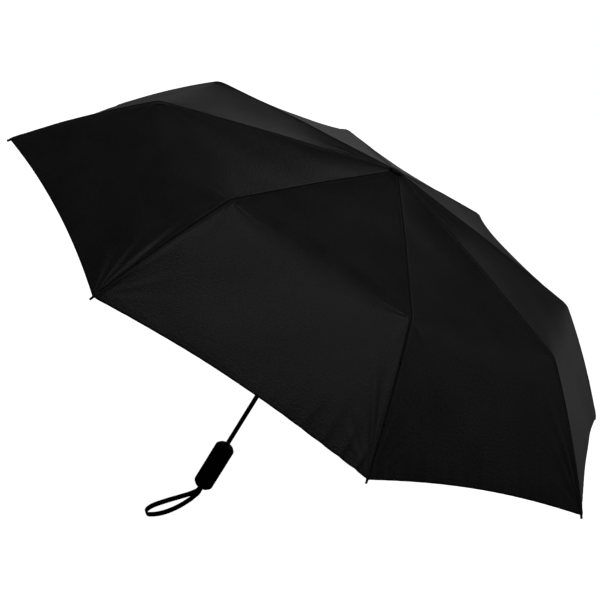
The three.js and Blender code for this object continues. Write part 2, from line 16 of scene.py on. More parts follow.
import bpy
import numpy as np
from mathutils import Euler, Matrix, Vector


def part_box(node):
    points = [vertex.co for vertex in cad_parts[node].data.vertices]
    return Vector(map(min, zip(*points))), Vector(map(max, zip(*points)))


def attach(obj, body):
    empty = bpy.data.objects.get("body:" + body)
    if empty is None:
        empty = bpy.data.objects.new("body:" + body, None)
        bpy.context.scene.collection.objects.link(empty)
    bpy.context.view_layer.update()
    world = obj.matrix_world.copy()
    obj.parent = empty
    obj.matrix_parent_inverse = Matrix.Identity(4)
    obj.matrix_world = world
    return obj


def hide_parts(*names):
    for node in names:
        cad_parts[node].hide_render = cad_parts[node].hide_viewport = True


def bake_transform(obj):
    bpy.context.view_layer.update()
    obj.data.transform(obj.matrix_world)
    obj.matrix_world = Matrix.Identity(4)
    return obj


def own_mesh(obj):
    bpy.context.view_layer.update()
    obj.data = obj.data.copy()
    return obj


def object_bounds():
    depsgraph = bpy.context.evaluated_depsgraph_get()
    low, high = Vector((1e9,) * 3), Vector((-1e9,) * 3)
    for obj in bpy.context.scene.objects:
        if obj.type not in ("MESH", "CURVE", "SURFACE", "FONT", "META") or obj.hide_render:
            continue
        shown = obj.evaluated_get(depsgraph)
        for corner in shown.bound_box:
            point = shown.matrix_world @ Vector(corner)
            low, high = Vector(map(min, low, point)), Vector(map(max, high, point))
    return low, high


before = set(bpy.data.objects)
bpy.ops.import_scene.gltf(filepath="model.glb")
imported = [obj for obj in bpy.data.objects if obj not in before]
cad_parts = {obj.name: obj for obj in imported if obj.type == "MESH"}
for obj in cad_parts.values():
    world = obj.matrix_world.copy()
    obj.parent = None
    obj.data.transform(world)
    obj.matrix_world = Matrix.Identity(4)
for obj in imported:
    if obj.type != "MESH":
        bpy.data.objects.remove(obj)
CAD_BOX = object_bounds()

log = logging.getLogger("umbrella")

MM = 0.001
RIB_COUNT = 8
GORE_ANGLE = 2 * math.pi / RIB_COUNT
WAVE_LENGTH = 0.31  # from ridge to ridge of a wave texture at scale 1
Ring = Sequence[Sequence[float]]
Corner = tuple[float, float, float]
Socket = bpy.types.NodeSocket


# --- Small tools --------------------------------------------------------------------------


def linear(colour: str) -> tuple[float, float, float, float]:
    """Turn an sRGB hex colour into a linear RGBA colour.

    Args:
        colour: six hex digits after a hash sign.

    Returns:
        Red, green, blue and alpha, linear, from 0 to 1.
    """
    levels = [int(colour[i : i + 2], 16) / 255 for i in (1, 3, 5)]
    red, green, blue = (v / 12.92 if v <= 0.04045 else ((v + 0.055) / 1.055) ** 2.4 for v in levels)
    return (red, green, blue, 1.0)


def add_node(
    tree: bpy.types.NodeTree, kind: str, inputs: dict[str | int, object] | None = None, **settings: object
) -> bpy.types.Node:
    """Add a shader node, set it up and wire its inputs.

    Args:
        tree: the node tree it goes in.
        kind: the node's type name.
        inputs: a value or an output socket for each named or numbered input.
        **settings: the node's own properties, such as its operation.

    Returns:
        The new node.
    """
    node = tree.nodes.new(kind)
    for name, value in settings.items():
        setattr(node, name, value)
    for key, value in (inputs or {}).items():
        if isinstance(value, bpy.types.NodeSocket):
            tree.links.new(value, node.inputs[key])
        else:
            node.inputs[key].default_value = value
    return node


def smoothstep(value: np.ndarray | float) -> np.ndarray:
    """Ease from 0 to 1 as the value goes from 0 to 1."""
    clipped = np.clip(value, 0.0, 1.0)
    return clipped * clipped * (3 - 2 * clipped)


def mesh_piece(
    name: str, points: Ring | np.ndarray, faces: Sequence[Sequence[int]], finish: bpy.types.Material
) -> bpy.types.Object:
    """Make a smooth-shaded mesh object in the row frame.

    Args:
        name: the piece's name.
        points: its vertices, in metres.
        faces: vertex numbers round each face.
        finish: its material.

    Returns:
        The new object, linked to the scene.
    """
    mesh = bpy.data.meshes.new(name)
    mesh.from_pydata([tuple(map(float, p)) for p in points], [], [tuple(f) for f in faces])
    mesh.validate()
    mesh.shade_smooth()
    mesh.materials.append(finish)
    piece = bpy.data.objects.new(name, mesh)
    bpy.context.scene.collection.objects.link(piece)
    return piece


def loft(rings: np.ndarray, closed: bool) -> tuple[np.ndarray, list[tuple[int, ...]]]:
    """Skin a row of rings that have the same number of points.

    Args:
        rings: an array of rings, points and coordinates.
        closed: True joins the last ring to the first, False closes both ends with a face.

    Returns:
        The points and the faces.
    """
    count, around = rings.shape[:2]
    faces: list[tuple[int, ...]] = []
    for ring in range(count if closed else count - 1):
        for step in range(around):
            a, b = ring * around + step, ring * around + (step + 1) % around
            c, d = (a + around) % (count * around), (b + around) % (count * around)
            faces.append((a, b, d, c))
    if not closed:
        faces.append(tuple(reversed(range(around))))
        faces.append(tuple(range((count - 1) * around, count * around)))
    return rings.reshape(-1, 3), faces


def rounded(corners: Sequence[Corner], steps: int = 6) -> list[tuple[float, float]]:
    """Round the corners of a profile with arcs.

    Args:
        corners: radius, height and corner radius of each corner, in metres.
        steps: faces in each arc.

    Returns:
        The profile as radius and height.
    """
    profile: list[tuple[float, float]] = []
    for index, (r, z, bend) in enumerate(corners):
        here = np.array([r, z])
        if bend <= 0:
            profile.append((r, z))
            continue
        back = np.array(corners[index - 1][:2]) - here
        ahead = np.array(corners[(index + 1) % len(corners)][:2]) - here
        start, end = (here + bend * d / np.linalg.norm(d) for d in (back, ahead))
        for step in range(steps + 1):
            t = step / steps
            point = (1 - t) ** 2 * start + 2 * t * (1 - t) * here + t * t * end
            profile.append((float(point[0]), float(point[1])))
    return profile


def turned(profile: Sequence[tuple[float, float]], around: int = 64) -> np.ndarray:
    """Turn a profile about the shaft's axis.

    Args:
        profile: radius and height of each point, in metres.
        around: points in each ring.

    Returns:
        One ring for each point of the profile.
    """
    turn = np.linspace(0, 2 * math.pi, around, endpoint=False)
    rows = [np.stack([r * np.cos(turn), r * np.sin(turn), np.full(around, z)], axis=1) for r, z in profile]
    return np.array(rows)


def unit(vectors: np.ndarray) -> np.ndarray:
    """The same directions with a length of one."""
    return vectors / np.linalg.norm(vectors, axis=-1)[..., None]


def flattened(value: np.ndarray, power: float) -> np.ndarray:
    """Turn the sine or cosine of a circle into that of a rounded rectangle."""
    return np.sign(value) * np.abs(value) ** power


def rib_directions(number: int) -> tuple[np.ndarray, np.ndarray]:
    """The level direction out along a rib, and the one that points to the next rib."""
    turn = (number - 1) * GORE_ANGLE
    out = np.array([math.cos(turn), math.sin(turn), 0.0])
    return out, np.array([-math.sin(turn), math.cos(turn), 0.0])


def lay_uv(piece: bpy.types.Object, title: str, values: np.ndarray) -> None:
    """Give a piece a UV layer.

    Args:
        piece: the piece.
        title: the layer's name.
        values: two coordinates for each vertex of the piece.
    """
    corners = np.zeros(len(piece.data.loops), np.int32)
    piece.data.loops.foreach_get("vertex_index", corners)
    layer = piece.data.uv_layers.new(name=title)
    layer.uv.foreach_set("vector", np.asarray(values)[corners].astype(np.float32).ravel())


def place(piece: bpy.types.Object, body: str, slot: str, *stands_for: str) -> bpy.types.Object:
    """Ride a finished piece on a body and report it.

    Args:
        piece: the piece, in its place at rest.
        body: the body that it moves with.
        slot: not used.
        *stands_for: the nodes that it takes the place of.

    Returns:
        The same piece.
    """
    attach(piece, body)
    if stands_for:
        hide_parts(*stands_for)
    log.info("%s rides %s", piece.name, body)
    return piece


# --- Finishes -----------------------------------------------------------------------------


@dataclass(frozen=True)
class Graph:
    """A material's node tree, with the steps that the finishes are drawn in."""

    tree: bpy.types.NodeTree

    def uv(self, title: str) -> Socket:
        """The coordinates of a named UV layer."""
        return add_node(self.tree, "ShaderNodeUVMap", uv_map=title).outputs[0]

    def split(self, vector: Socket) -> tuple[Socket, Socket]:
        """The first and the second coordinate of a vector."""
        outputs = add_node(self.tree, "ShaderNodeSeparateXYZ", {0: vector}).outputs
        return outputs[0], outputs[1]

    def place(self) -> Socket:
        """The place on the piece, in its own metres."""
        return add_node(self.tree, "ShaderNodeTexCoord").outputs["Object"]

    def noise(self, where: Socket, scale: float, detail: float = 2.0) -> Socket:
        """Soft noise from 0 to 1, with this many cells to a metre."""
        inputs = {"Vector": where, "Scale": scale, "Detail": detail}
        return add_node(self.tree, "ShaderNodeTexNoise", inputs).outputs[0]

    def ridges(self, where: Socket, width: float, uneven: float, direction: str) -> Socket:
        """Draw a row of ridges, from 0 to 1.

        Args:
            where: the coordinates they are drawn on.
            width: width of a ridge, in metres.
            uneven: how far noise bends them.
            direction: X or Y, the axis that they follow each other on.

        Returns:
            The height's socket.
        """
        inputs = {"Vector": where, "Scale": WAVE_LENGTH / width, "Distortion": uneven}
        return add_node(self.tree, "ShaderNodeTexWave", inputs, bands_direction=direction).outputs[1]

    def work(self, operation: str, first: Socket, second: float | Socket = 0.0) -> Socket:
        """Work a value out from one or two others."""
        return add_node(self.tree, "ShaderNodeMath", {0: first, 1: second}, operation=operation).outputs[0]

    def span(self, value: Socket, source: tuple[float, float], target: tuple[float, float]) -> Socket:
        """Carry a value over from one range to another, and hold it within its ends."""
        inputs = {0: value, 1: source[0], 2: source[1], 3: target[0], 4: target[1]}
        return add_node(self.tree, "ShaderNodeMapRange", inputs).outputs[0]

    def mix(self, share: Socket, first: str | Socket, second: str) -> Socket:
        """Mix two colours.

        Args:
            share: 0 for the first colour to 1 for the second.
            first: a hex colour, or the socket of a colour.
            second: a hex colour.

        Returns:
            The mixed colour's socket.
        """
        under = linear(first) if isinstance(first, str) else first
        inputs = {"Factor": share, "A": under, "B": linear(second)}
        return add_node(self.tree, "ShaderNodeMix", inputs, data_type="RGBA").outputs["Result"]

    def bump(
        self, height: Socket, strength: float, distance: float, under: Socket | None = None,
        invert: bool = False,
    ) -> Socket:  # fmt: skip
        """Raise the surface by a height.

        Args:
            height: the height, from 0 to 1.
            strength: how much of it shows.
            distance: how high 1 is, in metres.
            under: the bump that this one lies on.
            invert: True sinks the surface instead.

        Returns:
            The normal's socket.
        """
        inputs = {"Height": height, "Strength": strength, "Distance": distance}
        if under is not None:
            inputs["Normal"] = under
        return add_node(self.tree, "ShaderNodeBump", inputs, invert=invert).outputs[0]

    def wear(
        self, cover: str, bare: str, patches: Socket, reach: tuple[float, float], most: float
    ) -> Socket:
        """Rub a colour off where edges stand proud.

        Args:
            cover: the colour of the surface.
            bare: the colour below it.
            patches: noise that breaks up the wear.
            reach: how proud an edge is where the wear starts and where it is full.
            most: the share of full wear.

        Returns:
            The colour's socket.
        """
        edge = add_node(self.tree, "ShaderNodeNewGeometry").outputs["Pointiness"]
        rubbed = self.span(edge, reach, (0.0, most))
        return self.mix(self.work("MULTIPLY", rubbed, patches), cover, bare)


@dataclass(frozen=True)
class Finish:
    """What every finish shares: a name and the values of its plain surface."""

    name: str
    colour: str
    roughness: float
    specular: float = 0.5

    def material(self) -> bpy.types.Material:
        """Make the material from what the kind of finish draws.

        Returns:
            The new material.
        """
        material = bpy.data.materials.new(self.name)
        material.use_nodes = True
        tree = material.node_tree
        tree.nodes.clear()
        inputs = {"Roughness": self.roughness, "Specular IOR Level": self.specular}
        inputs.update(self.draw(Graph(tree)))
        surface = add_node(tree, "ShaderNodeBsdfPrincipled", inputs)
        add_node(tree, "ShaderNodeOutputMaterial", {"Surface": surface.outputs[0]})
        return material

    def draw(self, graph: Graph) -> dict[str, object]:
        """Draw the finish: here a plain colour.

        Args:
            graph: the material's node tree.

        Returns:
            A value or a socket for each named input of the surface.
        """
        return {"Base Color": linear(self.colour)}

    def gloss(self, graph: Graph, patches: Socket, less: float, more: float) -> Socket:
        """Let the roughness fall and rise with the patches of a noise."""
        return graph.span(patches, (0.0, 1.0), (self.roughness - less, self.roughness + more))


@dataclass(frozen=True)
class WovenPolyester(Finish):
    """Closely woven polyester, dyed black and calendered: a soft satin that lightens at the edge."""

    light: str = "#272727"
    sewing_thread: str = "#050505"
    # painted shade: near-black colour laid along the seam groove where shadow falls
    crease: str = "#010101"
    thread: float = 0.9 * MM  # real threads lie 0.2 mm apart, drawn coarser so that they show
    slub: float = 2.6 * MM  # uneven yarn, the cloth's fine mottle
    stitch: float = 2.4 * MM
    stitch_width: float = 0.7 * MM
    seam_stitch: float = 3.1 * MM  # from the rib line
    hem_stitch: float = 7.0 * MM  # from the edge
    # painted shade: how far from the rib line the seam groove's painted shadow reaches
    seam_shade_band: tuple[float, float] = (0.6 * MM, 2.2 * MM)  # from the rib line

    def stitch_row(self, graph: Graph, gap: Socket, along: Socket, centre: float) -> Socket:
        """Draw one row of lockstitch at a fixed distance from an edge.

        Args:
            graph: the material's node tree.
            gap: distance from the edge, in metres.
            along: distance along the edge, in metres.
            centre: where the row is, from the edge.

        Returns:
            A socket that is 1 in a stitch's hollow and 0 away from the row.
        """
        away = graph.work("ABSOLUTE", graph.work("SUBTRACT", gap, centre))
        line = graph.span(away, (0.0, self.stitch_width), (1.0, 0.0))
        wave = graph.work("SINE", graph.work("MULTIPLY", along, 2 * math.pi / self.stitch))
        dash = graph.span(wave, (-1.0, 1.0), (0.35, 1.0))
        return graph.work("MULTIPLY", line, dash)

    def draw(self, graph: Graph) -> dict[str, object]:
        """Draw the cloth: weave and slub, stitch rows on seams and hem, painted shade along the seam
        grooves, a soft sheen.
        """
        cloth = graph.uv("cloth")
        across, along = graph.split(cloth)
        from_rib, from_hem = graph.split(graph.uv("edges"))
        warp, weft = (graph.ridges(cloth, self.thread, 1.5, axis) for axis in ("X", "Y"))
        slub = graph.noise(cloth, 1 / self.slub, 3.0)
        cloudy = graph.noise(cloth, 16.0, 4.0)
        tone = graph.span(graph.work("MULTIPLY", slub, cloudy), (0.12, 0.42), (0.0, 1.0))
        dye = graph.mix(tone, self.colour, self.light)
        seam = self.stitch_row(graph, from_rib, along, self.seam_stitch)
        hem = self.stitch_row(graph, from_hem, across, self.hem_stitch)
        sewn = graph.work("MAXIMUM", seam, hem)
        # painted shade: the cloth turns near black by the rib line, where the seam groove lies in shadow
        seam_shade_mask = graph.span(from_rib, self.seam_shade_band, (1.0, 0.0))
        dull = graph.work("MULTIPLY", seam_shade_mask, 0.35)
        threads = graph.bump(graph.work("ADD", warp, weft), 0.25, 0.08 * MM)
        yarn = graph.bump(slub, 0.7, 0.8 * MM, threads)
        return {
            "Base Color": graph.mix(seam_shade_mask, graph.mix(sewn, dye, self.sewing_thread), self.crease),
            "Roughness": graph.work("ADD", self.gloss(graph, cloudy, 0.05, 0.05), dull),
            "IOR": 1.5,
            "Sheen Weight": 0.18,
            "Sheen Roughness": 0.45,
            "Sheen Tint": linear("#cccccc"),
            "Normal": graph.bump(sewn, 0.8, 0.4 * MM, yarn, invert=True),
        }


@dataclass(frozen=True)
class NylonWebbing(Finish):
    """Narrow nylon tape woven with a ribbed edge: dull black with a fine cross rib."""

    light: str = "#141415"
    rib: float = 1.1 * MM

    def draw(self, graph: Graph) -> dict[str, object]:
        """Draw the tape: cross ribs over the weave, fibres by noise."""
        tape = graph.uv("cloth")
        ribs = graph.ridges(tape, self.rib, 0.6, "Y")
        fibres = graph.noise(tape, 1800.0)
        return {
            "Base Color": graph.mix(fibres, self.colour, self.light),
            "IOR": 1.53,
            "Sheen Weight": 0.05,
            "Normal": graph.bump(graph.work("ADD", ribs, fibres), 0.7, 0.3 * MM),
        }


@dataclass(frozen=True)
class MouldedPlastic(Finish):
    """ABS or nylon from a spark-eroded mould: an even fine grain, a little worn at the edges."""

    grain: float = 0.5 * MM
    depth: float = 0.05 * MM
    worn: str = "#1a1a1b"

    def draw(self, graph: Graph) -> dict[str, object]:
        """Draw the moulding: grain, rubbed edges and a slightly uneven gloss."""
        where = graph.place()
        patches = graph.noise(where, 60.0, 3.0)
        return {
            "Base Color": graph.wear(self.colour, self.worn, patches, (0.54, 0.66), 1.0),
            "Roughness": self.gloss(graph, patches, 0.06, 0.06),
            "IOR": 1.5,
            "Normal": graph.bump(graph.noise(where, 1 / self.grain), 0.6, self.depth),
        }


@dataclass(frozen=True)
class EnamelledSteel(Finish):
    """Folded or drawn steel under baked black enamel: smooth, with faint runs along the bar."""

    bare: str = "#3a3a3c"

    def draw(self, graph: Graph) -> dict[str, object]:
        """Draw the enamel: fine orange peel, thin where edges rub."""
        where = graph.place()
        runs = graph.noise(where, 45.0, 5.0)
        return {
            "Base Color": graph.wear(self.colour, self.bare, runs, (0.56, 0.72), 0.8),
            "Roughness": self.gloss(graph, runs, 0.08, 0.1),
            "IOR": 1.5,
            "Coat Weight": 0.15,
            "Coat Roughness": 0.2,
            "Normal": graph.bump(graph.noise(where, 700.0), 0.3, 0.04 * MM),
        }


@dataclass(frozen=True)
class PlatedWire(Finish):
    """Drawn spring wire with dull nickel plating: grey metal with fine draw lines."""

    tarnish: str = "#6d6a64"

    def draw(self, graph: Graph) -> dict[str, object]:
        """Draw the plating: bare metal, patchy tarnish and draw marks."""
        where = graph.place()
        marks = graph.noise(where, 1500.0)
        return {
            "Base Color": graph.mix(graph.noise(where, 120.0, 4.0), self.colour, self.tarnish),
            "Metallic": 1.0,
            "Roughness": self.gloss(graph, marks, 0.1, 0.1),
            "Normal": graph.bump(marks, 0.3, 0.03 * MM),
        }


@dataclass(frozen=True)
class StudioPaper(Finish):
    """A seamless paper sweep lit until it is white."""

    glow: float = 1.0

    def draw(self, graph: Graph) -> dict[str, object]:
        """Draw the paper: white, with its own glow and a trace of fibre."""
        return {
            "Base Color": linear(self.colour),
            "Emission Color": linear(self.colour),
            "Emission Strength": self.glow,
            "Normal": graph.bump(graph.noise(graph.place(), 3.0), 0.02, MM),
        }


@dataclass(frozen=True)
class Finishes:
    """Every material of the umbrella, made once."""

    cloth: bpy.types.Material
    webbing: bpy.types.Material
    grip: bpy.types.Material
    plastic: bpy.types.Material
    nylon: bpy.types.Material
    enamel: bpy.types.Material
    tube: bpy.types.Material
    wire: bpy.types.Material

    @classmethod
    def mixed(cls) -> Finishes:
        """Make the whole set of materials."""
        return cls(
            cloth=WovenPolyester("woven_polyester", "#121212", 0.52, 0.35).material(),
            webbing=NylonWebbing("nylon_webbing", "#070708", 0.85, 0.12).material(),
            grip=MouldedPlastic("soft_touch_abs", "#060606", 0.72, 0.12).material(),
            plastic=MouldedPlastic("moulded_abs", "#0a0a0b", 0.45, 0.3).material(),
            nylon=MouldedPlastic("moulded_nylon", "#0e0e0f", 0.5, 0.35, grain=0.8 * MM).material(),
            enamel=EnamelledSteel("enamelled_rib_steel", "#0b0b0c", 0.38, 0.4).material(),
            tube=EnamelledSteel("enamelled_tube_steel", "#09090a", 0.34, 0.3).material(),
            wire=PlatedWire("nickel_plated_wire", "#9b9893", 0.4).material(),
        )


# --- Studio -------------------------------------------------------------------------------


@dataclass(frozen=True)
class Softbox:
    """One rectangular lamp that faces the canopy."""

    name: str
    heading: float  # degrees round from +X
    height: float  # degrees above the horizon
    distance: float
    width: float
    depth: float
    power: float

    def hang(self, aim: Vector) -> None:
        """Hang the lamp and turn it to the point it lights.

        Args:
            aim: the point it faces.
        """
        turn, lift = math.radians(self.heading), math.radians(self.height)
        away = Vector((math.cos(turn) * math.cos(lift), math.sin(turn) * math.cos(lift), math.sin(lift)))
        data = bpy.data.lights.new(self.name, "AREA")
        data.shape = "RECTANGLE"
        data.size, data.size_y = self.width, self.depth
        data.energy = self.power
        lamp = bpy.data.objects.new(self.name, data)
        lamp.location = aim + away * self.distance
        lamp.rotation_euler = (-away).to_track_quat("-Z", "Y").to_euler()
        lamp.visible_camera = False
        bpy.context.scene.collection.objects.link(lamp)


@dataclass
class Studio:
    """Camera, lamps, and a white sweep that only the camera sees."""

    heading: float = 17.73  # degrees from +Y towards +X
    pitch: float = 20.69  # degrees down
    roll: float = 31.57
    stand: Vector = field(default_factory=lambda: Vector((-0.55598, -1.67248, 0.96590)))
    lens: float = 79.08
    ambient: float = 0.014
    lamps: tuple[Softbox, ...] = (
        Softbox("overhead", 235, 74, 3.5, 1.4, 1.4, 9.5),
        Softbox("left", 190, 60, 3.5, 1.4, 1.4, 11.0),
        Softbox("right", 358, 48, 3.5, 1.4, 1.4, 3.6),
        Softbox("back_left", 105, 8, 3.5, 1.4, 1.4, 1.9),
        Softbox("back", 75, 12, 3.5, 1.4, 1.4, 3.6),
        Softbox("back_right", 30, 12, 3.5, 1.4, 1.4, 2.2),
    )

    def set_camera(self) -> None:
        """Set the camera where the umbrella is seen tilted, a little from above."""
        data = bpy.data.cameras.new("camera")
        data.lens = self.lens
        data.sensor_width = 36
        data.clip_end = 100
        camera = bpy.data.objects.new("camera", data)
        turn = Euler((math.radians(90 - self.pitch), 0, math.radians(-self.heading))).to_matrix()
        camera.location = self.stand
        camera.rotation_euler = (turn @ Euler((0, 0, math.radians(self.roll))).to_matrix()).to_euler()
        bpy.context.scene.collection.objects.link(camera)
        bpy.context.scene.camera = camera
        bpy.context.scene.view_settings.view_transform = "Standard"

    def light(self) -> None:
        """Hang the lamps and set the even light of the room."""
        low, high = CAD_BOX
        aim = Vector((0, 0, (low.z + 3 * high.z) / 4))
        for lamp in self.lamps:
            lamp.hang(aim)
        world = bpy.data.worlds.new("room")
        world.use_nodes = True
        world.node_tree.nodes["Background"].inputs[0].default_value = linear("#ffffff")
        world.node_tree.nodes["Background"].inputs[1].default_value = self.ambient
        bpy.context.scene.world = world

    def lay_floor(self) -> None:
        """Lay the pale floor and raise the sweep round it, out of the lamps' light."""
        paper = StudioPaper("studio_paper", "#ffffff", 0.9, 0.1).material()
        ground, reach, wall, around = CAD_BOX[0].z - 2 * MM, 16.0, 24.0, 48
        profile = [
            (0.02, ground), (reach, ground), (reach + 4, ground + 1), (wall, ground + 6), (wall, 30.0),
            (0.1, 34.0),
        ]  # fmt: skip
        points, faces = loft(turned(profile, around), closed=False)
        sweep = mesh_piece("studio_sweep", points, [tuple(reversed(f)) for f in faces], paper)
        for ray in ("visible_diffuse", "visible_glossy", "visible_shadow"):
            setattr(sweep, ray, False)


# --- Wrist strap --------------------------------------------------------------------------


@dataclass
class WristStrap:
    """A loop of flat tape that goes into the end cap with both ends."""

    finish: bpy.types.Material
    width: float = 8 * MM
    thickness: float = 1.4 * MM
    across: tuple[float, float, float] = (0.475, -0.829, -0.293)  # the tape's width, all along
    steps: int = 8  # stretches between two points of the route
    # The loop in millimetres, out of the slot and back into it.
    route: tuple[tuple[float, float, float], ...] = (
        (-0.9, -0.5, -35), (-0.9, -0.5, -40), (-2.7, -4, -47.7), (-7.3, -6.1, -52.8), (-13.9, -8.5, -58.4),
        (-21.2, -11.1, -63.5), (-29, -13.5, -69.2), (-37.8, -16, -75.8), (-46.5, -18, -83.3),
        (-52.8, -18.4, -90.1), (-57.3, -17.6, -97.6), (-59.2, -15.2, -106), (-57.5, -11.6, -113.9),
        (-52.4, -8.3, -117.8), (-45.7, -5, -117.7), (-37.5, -2.7, -114.5), (-29.8, -1.7, -108.7),
        (-23, -1.5, -101.2), (-17.5, -1.7, -93.4), (-12.4, -1.9, -84.9), (-8.3, -2.3, -76.3),
        (-4.4, -2.7, -67.3), (-1.6, -2.7, -58.8), (0.6, -2.3, -52), (0.9, 0.5, -40), (0.9, 0.5, -35),
    )  # fmt: skip

    def centreline(self) -> np.ndarray:
        """Follow the route with a centripetal spline.

        Returns:
            Points along the tape's middle, in metres.
        """
        knots = np.array(self.route) * MM
        knots = np.vstack([2 * knots[0] - knots[1], knots, 2 * knots[-1] - knots[-2]])
        points: list[np.ndarray] = []
        for p0, p1, p2, p3 in zip(knots, knots[1:], knots[2:], knots[3:]):
            a, b, c = (math.sqrt(np.linalg.norm(q - p)) for p, q in ((p0, p1), (p1, p2), (p2, p3)))
            out_slope = (p1 - p0) / a - (p2 - p0) / (a + b) + (p2 - p1) / b
            in_slope = (p2 - p1) / b - (p3 - p1) / (b + c) + (p3 - p2) / c
            for step in range(self.steps):
                t = step / self.steps
                rise = 3 * t**2 - 2 * t**3
                bends = (t**3 - 2 * t**2 + t) * out_slope + (t**3 - t**2) * in_slope
                points.append(p1 + rise * (p2 - p1) + b * bends)
        return np.array([*points, knots[-2]])

    def build(self) -> None:
        """Make the tape with rounded edges along its centreline."""
        path = self.centreline()
        ahead = unit(np.gradient(path, axis=0))
        across = unit(np.array(self.across) - ahead * (ahead @ np.array(self.across))[:, None])
        out = np.cross(ahead, across)
        turn = np.linspace(0, 2 * math.pi, 24, endpoint=False)
        flat = flattened(np.cos(turn), 0.4) * self.width / 2
        thick = flattened(np.sin(turn), 0.6) * self.thickness / 2
        rings = path[:, None] + flat[None, :, None] * across[:, None] + thick[None, :, None] * out[:, None]
        strap = mesh_piece("wrist_strap_tape", *loft(rings, closed=False), self.finish)
        length = np.concatenate([[0], np.cumsum(np.linalg.norm(np.diff(path, axis=0), axis=1))])
        lay_uv(strap, "cloth", np.stack([np.tile(flat, len(path)), np.repeat(length, len(turn))], axis=1))
        place(strap, "handle", "webbing", "wrist_strap")


# --- Canopy -------------------------------------------------------------------------------


class Stretch(Enum):
    """The stretches of cloth from the crown to the hem; the fold is the wedge past the knees."""

    TOP = "top"
    MIDDLE = "middle"
    FOLD = "fold"
    OUTER = "outer"

    @property
    def bar(self) -> str:
        """The bar, and the body, that this stretch moves with."""
        return "outer" if self is Stretch.FOLD else self.value


@dataclass
class Ridge:
    """The line of the cloth along a rib, from the crown to the tip, read from the frame."""

    FIRST, KNEE = 4, 6  # stations over the two rib joints

    def __post_init__(self) -> None:
        """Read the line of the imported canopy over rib 1 and lay it out by length."""
        points = [v.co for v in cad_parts["canopy"].data.vertices]
        over_rib = sorted((p.x, p.z) for p in points if abs(p.y) < 1e-5 and p.x > 0)
        unique = np.array(sorted(set((round(x, 6), round(z, 6)) for x, z in over_rib)))
        stations = (unique[0::2] + unique[1::2]) / 2
        knee, tip = stations[self.KNEE], stations[-1]
        chord = tip - knee
        lift = np.array([-chord[1], chord[0]]) / np.linalg.norm(chord)
        bow = max((p - knee) @ lift for p in stations[self.KNEE :])
        share = np.linspace(0, 1, 40)[1:, None]
        curve = knee + chord * share + 4 * bow * share * (1 - share) * lift
        line = np.vstack([stations[1 : self.KNEE + 1], curve])
        gaps = np.linalg.norm(np.diff(line, axis=0), axis=1)
        self.at = np.concatenate([[0], np.cumsum(gaps)])
        self.first = float(self.at[self.FIRST - 1])
        self.knee = float(self.at[self.KNEE - 1])
        self.length = float(self.at[-1])
        self.line = line
        self.fine = np.linspace(-0.06, self.length + 0.06, 2400)
        track = np.stack([self.straight_on(self.fine, axis) for axis in (0, 1)], axis=1)
        step = self.fine[1] - self.fine[0]
        self.sum = np.vstack([[0, 0], np.cumsum((track[1:] + track[:-1]) / 2 * step, axis=0)])

    def straight_on(self, along: np.ndarray, axis: int) -> np.ndarray:
        """Radius or height along the line, carried straight on past both ends.

        Args:
            along: distance from the crown clamp.
            axis: 0 for the radius, 1 for the height.

        Returns:
            The coordinate at each distance.
        """
        value = np.interp(along, self.at, self.line[:, axis])
        start = (self.line[1, axis] - self.line[0, axis]) / self.at[1]
        end = (self.line[-1, axis] - self.line[-2, axis]) / (self.at[-1] - self.at[-2])
        value = value + np.minimum(along, 0) * start
        return value + np.maximum(along - self.length, 0) * end

    def eased(self, along: np.ndarray, window: np.ndarray) -> tuple[np.ndarray, np.ndarray]:
        """The line averaged over a window, so that its bends turn soft.

        Args:
            along: distance from the crown clamp.
            window: how far the average reaches to each side.

        Returns:
            Radius and height.
        """
        both = []
        for axis in (0, 1):
            ahead = np.interp(along + window, self.fine, self.sum[:, axis])
            behind = np.interp(along - window, self.fine, self.sum[:, axis])
            both.append((ahead - behind) / (2 * window))
        return both[0], both[1]


